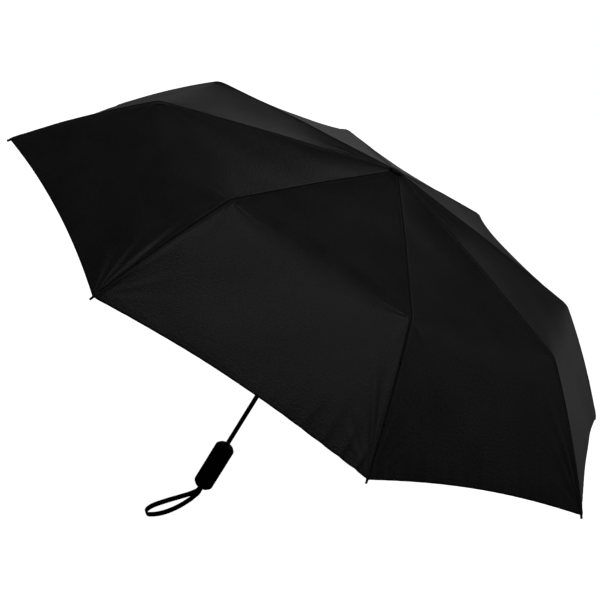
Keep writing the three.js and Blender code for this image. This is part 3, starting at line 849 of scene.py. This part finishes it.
@dataclass
class GoreShape:
    """The surface of one gore between two ribs."""

    # Degrees from the rib to each fold at a tip, its half width in degrees, and its height for
    # each metre from the tip.
    TIP_FOLDS = ((9.0, 3.2, 0.034), (27.0, 5.0, 0.022), (52.0, 8.0, 0.03))

    ridge: Ridge
    number: int
    hem_rise: float = 11 * MM
    sag: float = 4.5 * MM
    soft_fold: float = 36 * MM
    fold_bow: float = 9 * MM
    seam_height: float = 0.9 * MM
    seam_middle: float = 2.4 * MM  # from the rib
    seam_width: float = 1.5 * MM
    seam_margin: float = 9 * MM  # the cloth by the seam that stays free of wrinkles
    hem_curl: float = 0.9 * MM
    pull: tuple[float, float] = (1.0, 1.0)  # strength of the folds at the first and the second rib
    gather: tuple[float, float] = (0.3, 0.3)  # and of the hem's puckers
    crown_pleats: float = 0.1 * MM
    wave_height: float = 0.75 * MM  # slow waves over the whole gore
    knee_folds: float = 0.9 * MM
    knee_reach: float = 55 * MM
    pucker_height: float = 1.2 * MM
    pucker_length: float = 21 * MM
    phase: np.ndarray = field(init=False)

    def __post_init__(self) -> None:
        """Draw the gore's own wrinkle phases from a fixed seed."""
        self.phase = np.random.default_rng(40 + self.number).uniform(0, 2 * math.pi, 24)

    def rib(self, side: int) -> np.ndarray:
        """The level direction of the rib on one side, 0 or 1."""
        return rib_directions(self.number + side)[0]

    def surface(self, along: np.ndarray, share: np.ndarray) -> np.ndarray:
        """Points of the cloth.

        Args:
            along: distance from the crown, in metres, measured on the ribs.
            share: 0 at the first rib to 1 at the second.

        Returns:
            One point for each pair, in the row frame.
        """
        ridge = self.ridge
        arch = 4 * share * (1 - share)
        past_knee = np.clip((along - ridge.knee) / (ridge.length - ridge.knee), 0, 1.2)
        near_fold = np.exp(-(((along - ridge.knee) / 0.07) ** 2))
        drawn = along - self.hem_rise * arch * past_knee**2 - self.fold_bow * arch * near_fold * 0.8
        window = 5 * MM + self.soft_fold * np.clip(arch, 0, 1) ** 0.8
        radius, height = ridge.eased(drawn, window)
        level = self.rib(0) + share[..., None] * (self.rib(1) - self.rib(0))
        points = radius[..., None] * level
        points[..., 2] = height
        return points + self.lift(along, share, radius)[..., None] * self.outwards(drawn, share)

    def outwards(self, drawn: np.ndarray, share: np.ndarray) -> np.ndarray:
        """The direction out of the cloth, the same for both gores at their rib."""
        radius0, height0 = self.ridge.eased(drawn - 0.02, np.full_like(drawn, 0.01))
        radius1, height1 = self.ridge.eased(drawn + 0.02, np.full_like(drawn, 0.01))
        slope = np.arctan2(height1 - height0, radius1 - radius0)[..., None]
        level = self.rib(0) + share[..., None] * (self.rib(1) - self.rib(0))
        out = -np.sin(slope) * level + np.cos(slope) * np.array([0, 0, 1.0])
        return unit(out)

    def lift(self, along: np.ndarray, share: np.ndarray, radius: np.ndarray) -> np.ndarray:
        """How far the cloth stands off the straight gore: sag, seams and wrinkles.

        Args:
            along: distance from the crown on the ribs.
            share: 0 to 1 across the gore.
            radius: distance from the shaft's axis.

        Returns:
            The offset, outwards, in metres.
        """
        ridge, phase = self.ridge, self.phase
        half = radius * math.sin(GORE_ANGLE / 2)
        gap = 2 * half * np.minimum(np.clip(share, 0, 1), 1 - np.clip(share, 0, 1))
        middle = 2 * half * (share - 0.5)
        arch = np.clip(4 * share * (1 - share), 0, 1)
        hem_gap = ridge.length - along
        free = smoothstep(gap / self.seam_margin)

        sag = -self.sag * arch * smoothstep(along / 0.15) * (1 - 0.45 * smoothstep(1 - hem_gap / 0.12))
        seam = self.seam_height * np.exp(-(((gap - self.seam_middle) / self.seam_width) ** 2))
        seam -= self.seam_height * np.exp(-((gap / MM) ** 2))
        curl = -self.hem_curl * np.exp(-np.clip(hem_gap, 0, None) / MM)

        slow = np.zeros_like(gap)
        for n in range(4):
            wave_x, wave_y = 26 + 11 * n, 21 + 9 * ((n * 3) % 4)
            slow += np.sin(wave_x * middle + phase[n]) * np.sin(wave_y * along + phase[n + 4]) / (1 + n)
        slow = self.wave_height * slow * free * smoothstep(along / 0.1)

        streaks = np.sin(34 * share * math.pi + phase[8] + 9 * along)
        streaks += 0.6 * np.sin(61 * share * math.pi + phase[14] - 5 * along)
        streaks *= np.exp(-(((along - 0.06) / 0.085) ** 2)) * smoothstep(along / 0.03)
        crown = self.crown_pleats * streaks * free

        knee_rays = self.rays(gap, along - ridge.knee, phase[9], self.knee_reach) * self.knee_folds
        tips = np.zeros_like(gap)
        for side, pull in enumerate(self.pull):
            near = (share < 0.5) == (side == 0)
            tips += np.where(near, pull * self.tip_folds(gap, hem_gap, phase[15 + 4 * side :]), 0.0)

        strength = self.gather[0] + (self.gather[1] - self.gather[0]) * smoothstep((share - 0.2) / 0.6)
        turns = middle * 2 * math.pi / self.pucker_length + phase[12]
        turns += 2.4 * np.sin(middle * 27 + phase[13])
        pucker = np.sin(turns + 14 * hem_gap) + 0.35 * np.sin(2 * turns + phase[14])
        length = (30 + 14 * np.sin(middle * 43 + phase[11])) * MM
        fade = np.exp(-((np.clip(hem_gap, 0, None) / length) ** 1.6))
        hem = strength * np.exp(-gap / 0.12) * self.pucker_height * pucker * fade * free
        return sag + seam + curl + slow + crown + knee_rays * free + tips + hem

    def tip_folds(self, gap: np.ndarray, hem_gap: np.ndarray, phase: np.ndarray) -> np.ndarray:
        """Sharp folds that run up from the corner that is tied to the rib's end.

        Args:
            gap: distance from the rib.
            hem_gap: distance from the hem, along the rib.
            phase: numbers from 0 to two pi that vary the folds.

        Returns:
            The offset, outwards, in metres.
        """
        distance = np.hypot(gap, hem_gap)
        angle = np.degrees(np.arctan2(gap, np.abs(hem_gap) + 1e-6))
        folds = np.zeros_like(gap)
        for number, (centre, width, slope) in enumerate(self.TIP_FOLDS):
            middle = centre + 3.5 * math.sin(phase[number])
            reach = (95 - 24 * number) * MM
            fade = smoothstep(distance / (12 * MM)) * np.exp(-((distance / reach) ** 2.5))
            crest = np.exp(-(((angle - middle) / width) ** 2))
            trough = np.exp(-(((angle - middle + 1.6 * width) / (1.3 * width)) ** 2))
            folds += slope * distance * fade * (crest - 0.8 * trough)
        return folds * smoothstep(gap / (3 * MM))

    def rays(self, gap: np.ndarray, away: np.ndarray, phase: float, reach: float) -> np.ndarray:
        """Folds that fan out from a point on a rib and die away.

        Args:
            gap: distance from the rib.
            away: distance from the point, along the rib.
            phase: where the first fold lies.
            reach: how far the folds run.

        Returns:
            The folds, from -1 to 1.
        """
        crest = reach * 0.35  # where they are highest
        distance = np.hypot(gap, away)
        angle = np.arctan2(gap, np.abs(away) + 1e-6)
        fan = np.sin(angle * 9 + phase) * 0.7 + np.sin(angle * 15 + 2 * phase) * 0.3
        return fan * (distance / crest) * np.exp(-distance / crest)


@dataclass
class Canopy:
    """Eight gores of cloth, their hem, and the cloth that lies over the frame's joints."""

    finish: bpy.types.Material
    ridge: Ridge = field(default_factory=Ridge)
    columns: int = 56
    rows: dict[Stretch, int] = field(
        default_factory=lambda: {Stretch.TOP: 26, Stretch.MIDDLE: 26, Stretch.FOLD: 12, Stretch.OUTER: 54}
    )
    hem_width: float = 8 * MM
    hem_fold: float = 0.7 * MM
    kept: dict[Stretch, float] = field(
        default_factory=lambda: {
            Stretch.TOP: 0.04, Stretch.MIDDLE: 0.03, Stretch.FOLD: 0.05, Stretch.OUTER: 0.05
        }
    )
    patch_width: float = 7 * MM
    strip_easing: float = 5 * MM
    seamless: float = 0.05  # a distance from seam and hem at which no stitches show
    wedge: tuple[float, float] = (3 * MM, 39 * MM)  # the fold's length, more in the gore's middle
    # Gores that were sewn unevenly: corners tied tighter, hem drawn in, pleats at the crown.
    tight: dict[int, tuple[float, float]] = field(default_factory=lambda: {5: (0.35, 1.3), 6: (0.4, 1.0)})
    gathered: dict[int, tuple[float, float]] = field(
        default_factory=lambda: {5: (0.3, 0.1), 6: (0.25, 0.9), 7: (0.5, 0.25)}
    )
    pleated: dict[int, float] = field(default_factory=lambda: {4: 0.25 * MM, 8: 0.3 * MM})

    def build(self) -> None:
        """Make all sixteen half gores, the crown ring and the joint patches."""
        self.crown_ring()
        for number in range(1, RIB_COUNT + 1):
            draw = np.random.default_rng(7 + number)
            pull = self.tight.get(number, tuple(draw.uniform(0.3, 0.75, 2)))
            gather = self.gathered.get(number, tuple(draw.uniform(0.1, 0.35, 2)))
            pleats = draw.uniform(0.05, 0.12) * MM + self.pleated.get(number, 0.0)
            shape = GoreShape(self.ridge, number, pull=pull, gather=gather, crown_pleats=pleats)
            for side in (0, 1):
                self.half_gore(shape, side)
        for number in range(1, RIB_COUNT + 1):
            self.knee_patch(number)
            self.shoulder_patch(number)

    def grid(self, shape: GoreShape, side: int) -> tuple[np.ndarray, np.ndarray, np.ndarray, list[int]]:
        """Lay the cloth of a half gore out as rows and columns.

        Args:
            shape: the gore's surface.
            side: 0 for the half at its first rib, 1 for the other.

        Returns:
            Distances from the crown, shares across, points with one spare column past the
            middle, and the row where each stretch starts, with the last row.
        """
        steps = np.arange(self.columns + 2) / self.columns
        share = 0.5 * steps**1.6
        past = self.ridge.knee + self.wedge[0] + self.wedge[1] * 2 * share
        marks = [0.0, self.ridge.first, self.ridge.knee, past, self.ridge.length]
        starts, along = [0], [np.zeros_like(share)]
        for stretch, low, high in zip(Stretch, marks, marks[1:]):
            edge = [3 * MM, 1.6 * MM, 0.7 * MM, 0.0] if stretch is Stretch.OUTER else [0.0]
            count = self.rows[stretch]
            for t in np.linspace(0, 1, count + 2 - len(edge))[1:-1]:
                along.append(low + (high - edge[0] - low) * t + 0 * share)
            along += [high - e + 0 * share for e in edge]
            starts.append(starts[-1] + count)
        rows = np.array(along)
        columns = np.broadcast_to(share if side == 0 else 1 - share, rows.shape)
        return rows, columns, shape.surface(rows, columns), starts

    def half_gore(self, shape: GoreShape, side: int) -> None:
        """Make the three sheets of a half gore and fix them to their bodies.

        Args:
            shape: the gore's surface.
            side: 0 or 1, the rib that it lies along.
        """
        along, share, points, starts = self.grid(shape, side)
        down = np.gradient(points, axis=0)
        sideways = np.gradient(points, axis=1)
        normals = unit(np.cross(down, sideways) * (1 if side == 0 else -1))
        spoke = (shape.number - 1 + side) % RIB_COUNT + 1
        for index, stretch in enumerate(Stretch):
            rows = slice(starts[index], starts[index + 1] + 1)
            block = tuple(a[rows, : self.columns + 1] for a in (points, normals, along, share))
            if stretch is Stretch.OUTER:
                block = self.turn_hem(*block)
            name = f"canopy_{stretch.value}_{shape.number}{'ab'[side]}"
            self.sheet(name, stretch, spoke, side, *block)

    def turn_hem(
        self, points: np.ndarray, normals: np.ndarray, along: np.ndarray, share: np.ndarray
    ) -> tuple[np.ndarray, np.ndarray, np.ndarray, np.ndarray]:
        """Turn the edge under and back, so that the hem is double.

        Args:
            points: the sheet's points, hem in the last row.
            normals: their directions.
            along: distances from the crown.
            share: shares across the gore.

        Returns:
            The same four with the turned rows added.
        """
        ahead = unit(points[-1] - points[-2])
        up = normals[-1]
        turned_rows = []
        for out, under, facing in ((0.3, 0.5, 0.5), (0.0, 1.0, 0.0)):
            shift = ahead * out * self.hem_fold - up * under * self.hem_fold
            turned_rows.append((points[-1] + shift, ahead * (1 - facing) + up * (2 * facing - 1), 0.0))
        last = len(points) - 1
        back = int(np.searchsorted(along[:, 0], along[-1, 0] - self.hem_width))
        for row in (last - 1, back):
            under = points[row] - normals[row] * self.hem_fold
            turned_rows.append((under, -normals[row], along[row] - along[-1]))
        added = np.array([r[0] for r in turned_rows])
        facing_rows = unit(np.array([r[1] for r in turned_rows]))
        distances = np.array([along[-1] - (r[2] if np.ndim(r[2]) else 0.0) for r in turned_rows])
        return (
            np.concatenate([points, added]),
            np.concatenate([normals, facing_rows]),
            np.concatenate([along, distances]),
            np.concatenate([share, np.repeat(share[-1:], len(turned_rows), axis=0)]),
        )

    def sheet(
        self, name: str, stretch: Stretch, spoke: int, side: int,
        points: np.ndarray, normals: np.ndarray, along: np.ndarray, share: np.ndarray,
    ) -> None:  # fmt: skip
        """Make one sheet of a half gore.

        Args:
            name: the piece's name.
            stretch: the stretch of the rib that it is sewn to.
            spoke: the rib's number.
            side: 0 or 1, the rib of the gore that it lies along.
            points: its points in rows.
            normals: their directions.
            along: distances from the crown.
            share: shares across the gore.
        """
        height, width = points.shape[:2]
        faces = []
        for row in range(height - 1):
            for column in range(width - 1):
                a = row * width + column
                quad = (a, a + width, a + width + 1, a + 1)
                faces.append(quad if side == 0 else tuple(reversed(quad)))
        piece = mesh_piece(name, points.reshape(-1, 3), faces, self.finish)
        half = np.hypot(points[..., 0], points[..., 1]) * math.tan(GORE_ANGLE / 2)
        nearest = np.minimum(share, 1 - share)
        flat = np.stack([half * (1 - 2 * nearest), along], axis=-1).reshape(-1, 2)
        edges = np.stack([2 * half * nearest, self.ridge.length - along], axis=-1).reshape(-1, 2)
        lay_uv(piece, "cloth", flat + [spoke * 0.61, side * 0.37])  # no two sheets show the same mottle
        lay_uv(piece, "edges", edges)
        piece.data.normals_split_custom_set_from_vertices(normals.reshape(-1, 3).tolist())
        self.fix(piece, stretch, spoke, points, height)

    def fix(
        self, piece: bpy.types.Object, stretch: Stretch, spoke: int, points: np.ndarray, height: int
    ) -> None:
        """Ride a sheet on its bar and give it a mesh of its own.

        Args:
            piece: the sheet.
            stretch: the stretch of the rib.
            spoke: the rib's number.
            points: the sheet's points in rows.
            height: how many rows it has.
        """
        stands_for = ("canopy",) if piece.name == "canopy_outer_1a" else ()
        place(piece, f"{stretch.bar}_{spoke}", "canopy_cloth", *stands_for)
        rib = points[height // 2 + 2, 0] - points[height // 2 - 2, 0]
        rib /= np.linalg.norm(rib)
        across = points[height // 2, -1] - points[height // 2, 0]
        across -= (across @ rib) * rib
        anchor = points[height // 2, 0]
        if stretch is Stretch.FOLD:
            anchor, across = points[0, 0], points[0, -1] - points[0, 0]
        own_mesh(piece)
        widths = np.linalg.norm(np.diff(points, axis=1), axis=2).sum(axis=1)
        length = np.linalg.norm(np.diff(points[:, -1], axis=0), axis=1).sum()
        rows = np.linalg.norm(np.diff(points[:, width_middle(points)], axis=0), axis=1)
        area = float(((widths[1:] + widths[:-1]) / 2 * rows).sum())

    def strip(
        self, name: str, spoke: int, lengths: np.ndarray, widths: np.ndarray, drop: float
    ) -> bpy.types.Object:
        """Make a narrow strip of cloth that follows a rib just under the canopy.

        Args:
            name: the piece's name.
            spoke: the rib's number.
            lengths: distances from the crown.
            widths: half widths at those distances.
            drop: how far it lies under the canopy.

        Returns:
            The strip.
        """
        out, side = rib_directions(spoke)
        radius, height = self.ridge.eased(lengths, np.full_like(lengths, self.strip_easing))
        slope = np.gradient(height, radius)
        up = np.stack([-np.sin(np.arctan(slope)), np.cos(np.arctan(slope))], axis=1)
        steps = np.linspace(-1, 1, 9)
        points = []
        for r, z, half, (lift_r, lift_z) in zip(radius, height, widths, up):
            for step in steps:
                fall = drop + abs(step) * half * math.tan(GORE_ANGLE / 2) * abs(lift_r)
                point = (r - fall * lift_r) * out + step * half * side
                points.append(point + np.array([0, 0, z - fall * lift_z]))
        width = len(steps)
        faces = [
            (row * width + c, (row + 1) * width + c, (row + 1) * width + c + 1, row * width + c + 1)
            for row in range(len(lengths) - 1)
            for c in range(width - 1)
        ]
        piece = mesh_piece(name, points, faces, self.finish)
        away = (self.seamless + widths[:, None] * steps).ravel()
        lay_uv(piece, "cloth", np.stack([away, np.repeat(lengths, width)], axis=1))
        lay_uv(piece, "edges", np.stack([away, away], axis=1))
        return piece

    def knee_patch(self, spoke: int) -> None:
        """Lay the strip of cloth over the knee joint."""
        reach, give = 26 * MM, 13 * MM
        lengths = np.linspace(self.ridge.knee - reach, self.ridge.knee + reach, 27)
        widths = np.full_like(lengths, self.patch_width)
        piece = self.strip(f"canopy_knee_{spoke}", spoke, lengths, widths, 0.9 * MM)
        start, end = self.rib_points(spoke, self.ridge.knee - give, self.ridge.knee + give)
        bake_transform(piece)
        log.info("%s bends over knee %d", piece.name, spoke)

    def shoulder_patch(self, spoke: int) -> None:
        """Lay the wedge of cloth over the rib by the crown."""
        lengths = np.linspace(-2 * MM, 24 * MM, 18)
        widths = (13 * MM + np.clip(lengths, 0, 8 * MM)) * math.tan(GORE_ANGLE / 2) * 0.9
        piece = self.strip(f"canopy_shoulder_{spoke}", spoke, lengths, widths, 0.35 * MM)
        start, end = self.rib_points(spoke, -1 * MM, 14 * MM)
        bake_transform(piece)
        log.info("%s bends over the crown", piece.name)

    def rib_points(self, spoke: int, *lengths: float) -> list[Vector]:
        """Points of the ridge over one rib, at these distances from the crown."""
        out = rib_directions(spoke)[0]
        radius, height = self.ridge.eased(np.array(lengths), np.full(len(lengths), self.strip_easing))
        return [Vector((r * out[0], r * out[1], z)) for r, z in zip(radius, height)]

    def crown_ring(self) -> None:
        """Make the disc of cloth that is clamped under the crown cap."""
        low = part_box("top_notch")[1].z
        radii = (5.6 * MM, 9 * MM, 12.2 * MM, 13.2 * MM)
        heights = (0.5 * MM, 0.55 * MM, 0.5 * MM, 0.4 * MM)
        rings = turned([(r, low + h) for r, h in zip(radii, heights)], 96)
        points, faces = loft(rings, closed=False)
        piece = mesh_piece("canopy_crown", points, faces[:-2], self.finish)
        lay_uv(piece, "cloth", points[:, :2])
        lay_uv(piece, "edges", np.full((len(points), 2), self.seamless))
        place(piece, "upper_shaft", "canopy_cloth")


def width_middle(points: np.ndarray) -> int:
    """The column that halves a sheet's width."""
    return points.shape[1] // 2 + points.shape[1] // 8


# --- Spokes -------------------------------------------------------------------------------


@dataclass
class Spokes:
    """The finish of the eight ribs, and the small pieces that hold the cloth to them."""

    finishes: Finishes
    ridge: Ridge
    cap_length: float = 13 * MM
    cap_radius: float = 1.9 * MM
    tie_radius: float = 2.5 * MM
    tie_turns: int = 3
    tie_length: float = 1.6 * MM
    thread: float = 0.24 * MM

    def dress(self) -> None:
        """Give every bar and link its finish and soften its folded edges."""
        for number in range(1, RIB_COUNT + 1):
            for bar in ("top_rib", "middle_rib", "outer_rib", "stretcher"):
                self.coat(f"{bar}_{number}", self.finishes.enamel)
            for link in ("inner_link", "outer_link"):
                self.coat(f"{link}_{number}", self.finishes.wire)
            self.tip_cap(number)
            for stretch, share in ((Stretch.MIDDLE, 0.5), (Stretch.OUTER, 0.3), (Stretch.OUTER, 0.68)):
                self.tie(number, stretch, share)
        log.info("the bars of %d spokes are coated", RIB_COUNT)

    def coat(self, node: str, finish: bpy.types.Material) -> None:
        """Dress one bar of the frame.

        Args:
            node: the bar's name.
            finish: its material.
        """
        dress_node(node, finish, 0.18 * MM)

    def cloth_line(self, number: int, low: float, high: float, window: float) -> tuple[Vector, Vector]:
        """Find two points of the cloth's line over a rib.

        Args:
            number: the rib's number.
            low: distance of the first point from the crown.
            high: distance of the second.
            window: how far the line is averaged to each side.

        Returns:
            Both points.
        """
        out = Vector(rib_directions(number)[0])
        radius, height = self.ridge.eased(np.array([low, high]), np.full(2, window))
        start, end = (out * float(r) + Vector((0, 0, float(z))) for r, z in zip(radius, height))
        return start, end

    def tip_cap(self, number: int) -> None:
        """Make the moulded cap that ties a corner of the canopy to the rib's end."""
        tip = self.ridge.length
        inner, end = self.cloth_line(number, tip - 30 * MM, tip, 4 * MM)
        ahead = (end - inner).normalized()
        below = ahead.cross(Vector(rib_directions(number)[1])).normalized()
        if below.z > 0:
            below = -below
        start = end - ahead * 8.5 * MM + below * 1.6 * MM
        wide, length = self.cap_radius, self.cap_length
        profile = rounded(
            [
                (0.2 * MM, 0, 0), (wide * 0.82, 0, 0.3 * MM), (wide, 3 * MM, MM),
                (wide * 0.92, length * 0.62, MM), (wide * 0.66, length * 0.7, 0.4 * MM),
                (wide * 0.72, length - 1.2 * MM, MM), (wide * 0.35, length, 0.5 * MM),
                (0.1 * MM, length, 0),
            ]
        )  # fmt: skip
        turn = np.array(ahead.to_track_quat("Z", "Y").to_matrix())
        rings = turned(profile, 28) @ turn.T + np.array(start)
        cap = mesh_piece(f"rib_tip_{number}", *loft(rings, closed=False), self.finishes.plastic)
        place(cap, f"outer_{number}", "black_plastic")

    def tie(self, number: int, stretch: Stretch, share: float) -> None:
        """Wind the thread that ties the seam to the rib.

        Args:
            number: the rib's number.
            stretch: the stretch of the rib that it is on.
            share: how far along that stretch.
        """
        low, high = (
            (self.ridge.first, self.ridge.knee)
            if stretch is Stretch.MIDDLE
            else (self.ridge.knee, self.ridge.length)
        )
        where = low + share * (high - low)
        start, end = self.cloth_line(number, where - 5 * MM, where + 5 * MM, 2 * MM)
        side = rib_directions(number)[1]
        out = Vector(rib_directions(number)[0])
        ahead = (end - start).normalized()
        below = Vector((out.x * ahead.z, out.y * ahead.z, -math.hypot(ahead.x, ahead.y)))
        depth = 3.1 * MM if stretch is Stretch.MIDDLE else 2.2 * MM
        centre = (start + end) / 2 + below * depth
        steps = np.linspace(0, 2 * math.pi * self.tie_turns, 97)
        wind = self.tie_radius + 0.05 * MM * np.sin(5 * steps)
        path = (
            np.array(centre)
            + np.outer(wind * 0.95 * np.cos(steps), side)
            + np.outer(wind * 1.05 * np.sin(steps), -np.array(below))
            + np.outer((steps / steps[-1] - 0.5) * self.tie_length, np.array(ahead))
        )
        around = np.linspace(0, 2 * math.pi, 7)[:-1]
        flow = unit(np.gradient(path, axis=0))
        first = unit(np.cross(flow, np.array(ahead)))
        second = np.cross(flow, first)
        rings = path[:, None] + self.thread * (
            np.cos(around)[None, :, None] * first[:, None] + np.sin(around)[None, :, None] * second[:, None]
        )
        name = f"thread_tie_{stretch.value}_{number}_{int(share * 100)}"
        piece = mesh_piece(name, *loft(rings, closed=False), self.finishes.webbing)
        piece.data.uv_layers.new(name="cloth")
        place(piece, f"{stretch.value}_{number}", "webbing")


def dress_node(node: str, finish: bpy.types.Material, edge: float) -> None:
    """Give a node of the frame its finish and a small bevel that catches the light.

    Args:
        node: the node's name.
        finish: its material.
        edge: width of the bevel.
    """
    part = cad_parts[node]
    part.data.materials.clear()
    part.data.materials.append(finish)
    bevel = part.modifiers.new("softened_edges", "BEVEL")
    bevel.width = edge
    bevel.segments = 2
    bevel.limit_method = "ANGLE"
    bevel.angle_limit = math.radians(40)
    bevel.use_clamp_overlap = True


# --- Shaft and handle ---------------------------------------------------------------------


@dataclass
class Shaft:
    """Three telescoping tubes, the notch, the runner with its button, and the crown cap."""

    finishes: Finishes
    wall: float = 0.45 * MM
    curl: float = 0.35 * MM

    def build(self) -> None:
        """Make the tubes and the crown cap, and dress the rest."""
        for node, body in (("lower_tube", "handle"), ("middle_tube", "middle_shaft")):
            self.tube(node, body)
        for node, finish, slot in (
            ("upper_tube", self.finishes.tube, "shaft_steel"),
            ("top_notch", self.finishes.nylon, "notch_plastic"),
            ("runner", self.finishes.nylon, "notch_plastic"),
            ("runner_button", self.finishes.plastic, "black_plastic"),
            ("runner_catch", self.finishes.wire, "spring_steel"),
        ):
            dress_node(node, finish, 0.25 * MM)
            log.info("%s is dressed", node)
        self.crown_cap()

    def tube(self, node: str, body: str) -> None:
        """Make one drawn tube with rolled ends.

        Args:
            node: the tube of the frame that it stands for.
            body: the body it moves with.
        """
        low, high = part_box(node)
        outer, inner = high.x, high.x - self.wall
        soft = 0.15 * MM
        corners = [
            (inner, low.z, soft), (outer, low.z, soft), (outer, high.z - 1.5 * MM, 0.5 * MM),
            (outer - self.curl, high.z, soft), (inner - 0.1 * MM, high.z, soft),
            (inner, high.z - 1.5 * MM, 0),
        ]  # fmt: skip
        rings = turned(rounded(corners, 3), 72)
        points, faces = loft(rings, closed=True)
        place(mesh_piece(f"{node}_drawn", points, faces, self.finishes.tube), body, "shaft_steel", node)

    def crown_cap(self) -> None:
        """Make the low domed cap with its rim and its stem in the tube."""
        low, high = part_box("crown_cap")
        wide, top = high.x, high.z
        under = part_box("top_notch")[1].z + 1.2 * MM
        stem = 4.2 * MM
        rise = top - under
        dome = [
            (wide * math.sin(a), under + rise * (0.38 + 0.62 * math.cos(a)), 0.0)
            for a in np.linspace(math.radians(84), math.radians(3), 22)
        ]
        corners = [
            (0.1 * MM, low.z, 0), (stem, low.z, 0.6 * MM), (stem, under, 0.2 * MM),
            (wide - 0.8 * MM, under, 0.2 * MM), (wide, under + 0.5 * MM, 0.4 * MM), *dome,
            (0.1 * MM, top, 0),
        ]  # fmt: skip
        points, faces = loft(turned(rounded(corners, 4), 72), closed=False)
        cap = mesh_piece("crown_cap_moulded", points, faces, self.finishes.plastic)
        place(cap, "upper_shaft", "black_plastic", "crown_cap")


@dataclass
class Handle:
    """The moulded grip and the end cap that holds the strap."""

    finishes: Finishes
    slot_length: float = 9.4 * MM
    slot_width: float = 5 * MM
    slot_heading: float = math.atan2(-0.829, 0.475)
    taper: float = 4.4 * MM  # how much narrower the grip's two ends are

    def build(self) -> None:
        """Make the grip and the end cap."""
        self.grip()
        self.end_cap()

    def grip(self) -> None:
        """Make the grip: a straight barrel with soft shoulders."""
        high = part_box("handle_grip")[1]
        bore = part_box("lower_tube")[1].x + 0.25 * MM
        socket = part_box("handle_end_cap")[1].z
        wide, seam = high.x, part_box("handle_end_cap")[0].z + 8 * MM
        neck = 9.3 * MM
        corners = [
            (bore, socket + 2 * MM, 0), (bore, high.z - 0.6 * MM, 0.3 * MM),
            (bore + 0.7 * MM, high.z, 0.3 * MM), (wide - self.taper, high.z, 1.2 * MM),
            (wide, high.z - 5 * MM, 1.6 * MM), (wide, seam + 0.4 * MM, 0.3 * MM),
            (wide - 0.7 * MM, seam, 0.2 * MM), (neck, seam, 0), (neck, socket + 0.3 * MM, 0),
            (bore, socket + 0.3 * MM, 0),
        ]  # fmt: skip
        points, faces = loft(turned(rounded(corners), 96), closed=True)
        grip = mesh_piece("handle_grip_moulded", points, faces, self.finishes.grip)
        place(grip, "handle", "grip_plastic", "handle_grip")

    def slot_ring(self, around: int, height: float, grow: float) -> np.ndarray:
        """The strap's slot as a ring with round corners.

        Args:
            around: points in the ring.
            height: its height.
            grow: how far it stands outside the slot.

        Returns:
            The ring.
        """
        turn = np.linspace(0, 2 * math.pi, around, endpoint=False)
        local = turn - self.slot_heading
        across = flattened(np.cos(local), 0.45) * (self.slot_length / 2 + grow)
        length = flattened(np.sin(local), 0.45) * (self.slot_width / 2 + grow)
        cosine, sine = math.cos(self.slot_heading), math.sin(self.slot_heading)
        x, y = across * cosine - length * sine, across * sine + length * cosine
        return np.stack([x, y, np.full(around, height)], axis=1)

    def end_cap(self) -> None:
        """Make the end cap: a rounded foot with the strap's slot through its middle."""
        low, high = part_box("handle_end_cap")
        wide, around = high.x, 96
        rim = low.z + 7.7 * MM
        corners = [
            (9.0 * MM, high.z, 0.3 * MM), (9.0 * MM, rim, 0), (wide - 0.7 * MM, rim, 0.2 * MM),
            (wide, rim - 0.4 * MM, 0.2 * MM), (wide, low.z + 5 * MM, 1.6 * MM),
            (wide - self.taper, low.z, 1.2 * MM), (8.0 * MM, low.z, 0),
        ]  # fmt: skip
        outside = turned(rounded(corners), around)
        rims = (
            (low.z, 0.5 * MM), (low.z + 0.4 * MM, 0.05 * MM), (low.z + 2 * MM, 0.0), (high.z, 0.0)
        )  # fmt: skip
        slot = np.array([self.slot_ring(around, height, grow) for height, grow in rims])
        points, faces = loft(np.concatenate([outside, slot]), closed=True)
        cap = mesh_piece("handle_end_cap_moulded", points, faces, self.finishes.grip)
        place(cap, "handle", "grip_plastic", "handle_end_cap")


def main() -> None:
    """Build the studio and every piece of the umbrella, in order."""
    logging.basicConfig(level=logging.INFO, format="%(message)s")
    studio = Studio()
    studio.set_camera()
    finishes = Finishes.mixed()
    WristStrap(finishes.webbing).build()
    canopy = Canopy(finishes.cloth)
    canopy.build()
    Spokes(finishes, canopy.ridge).dress()
    Shaft(finishes).build()
    Handle(finishes).build()
    studio.light()
    studio.lay_floor()


if __name__ == "__main__":
    main()
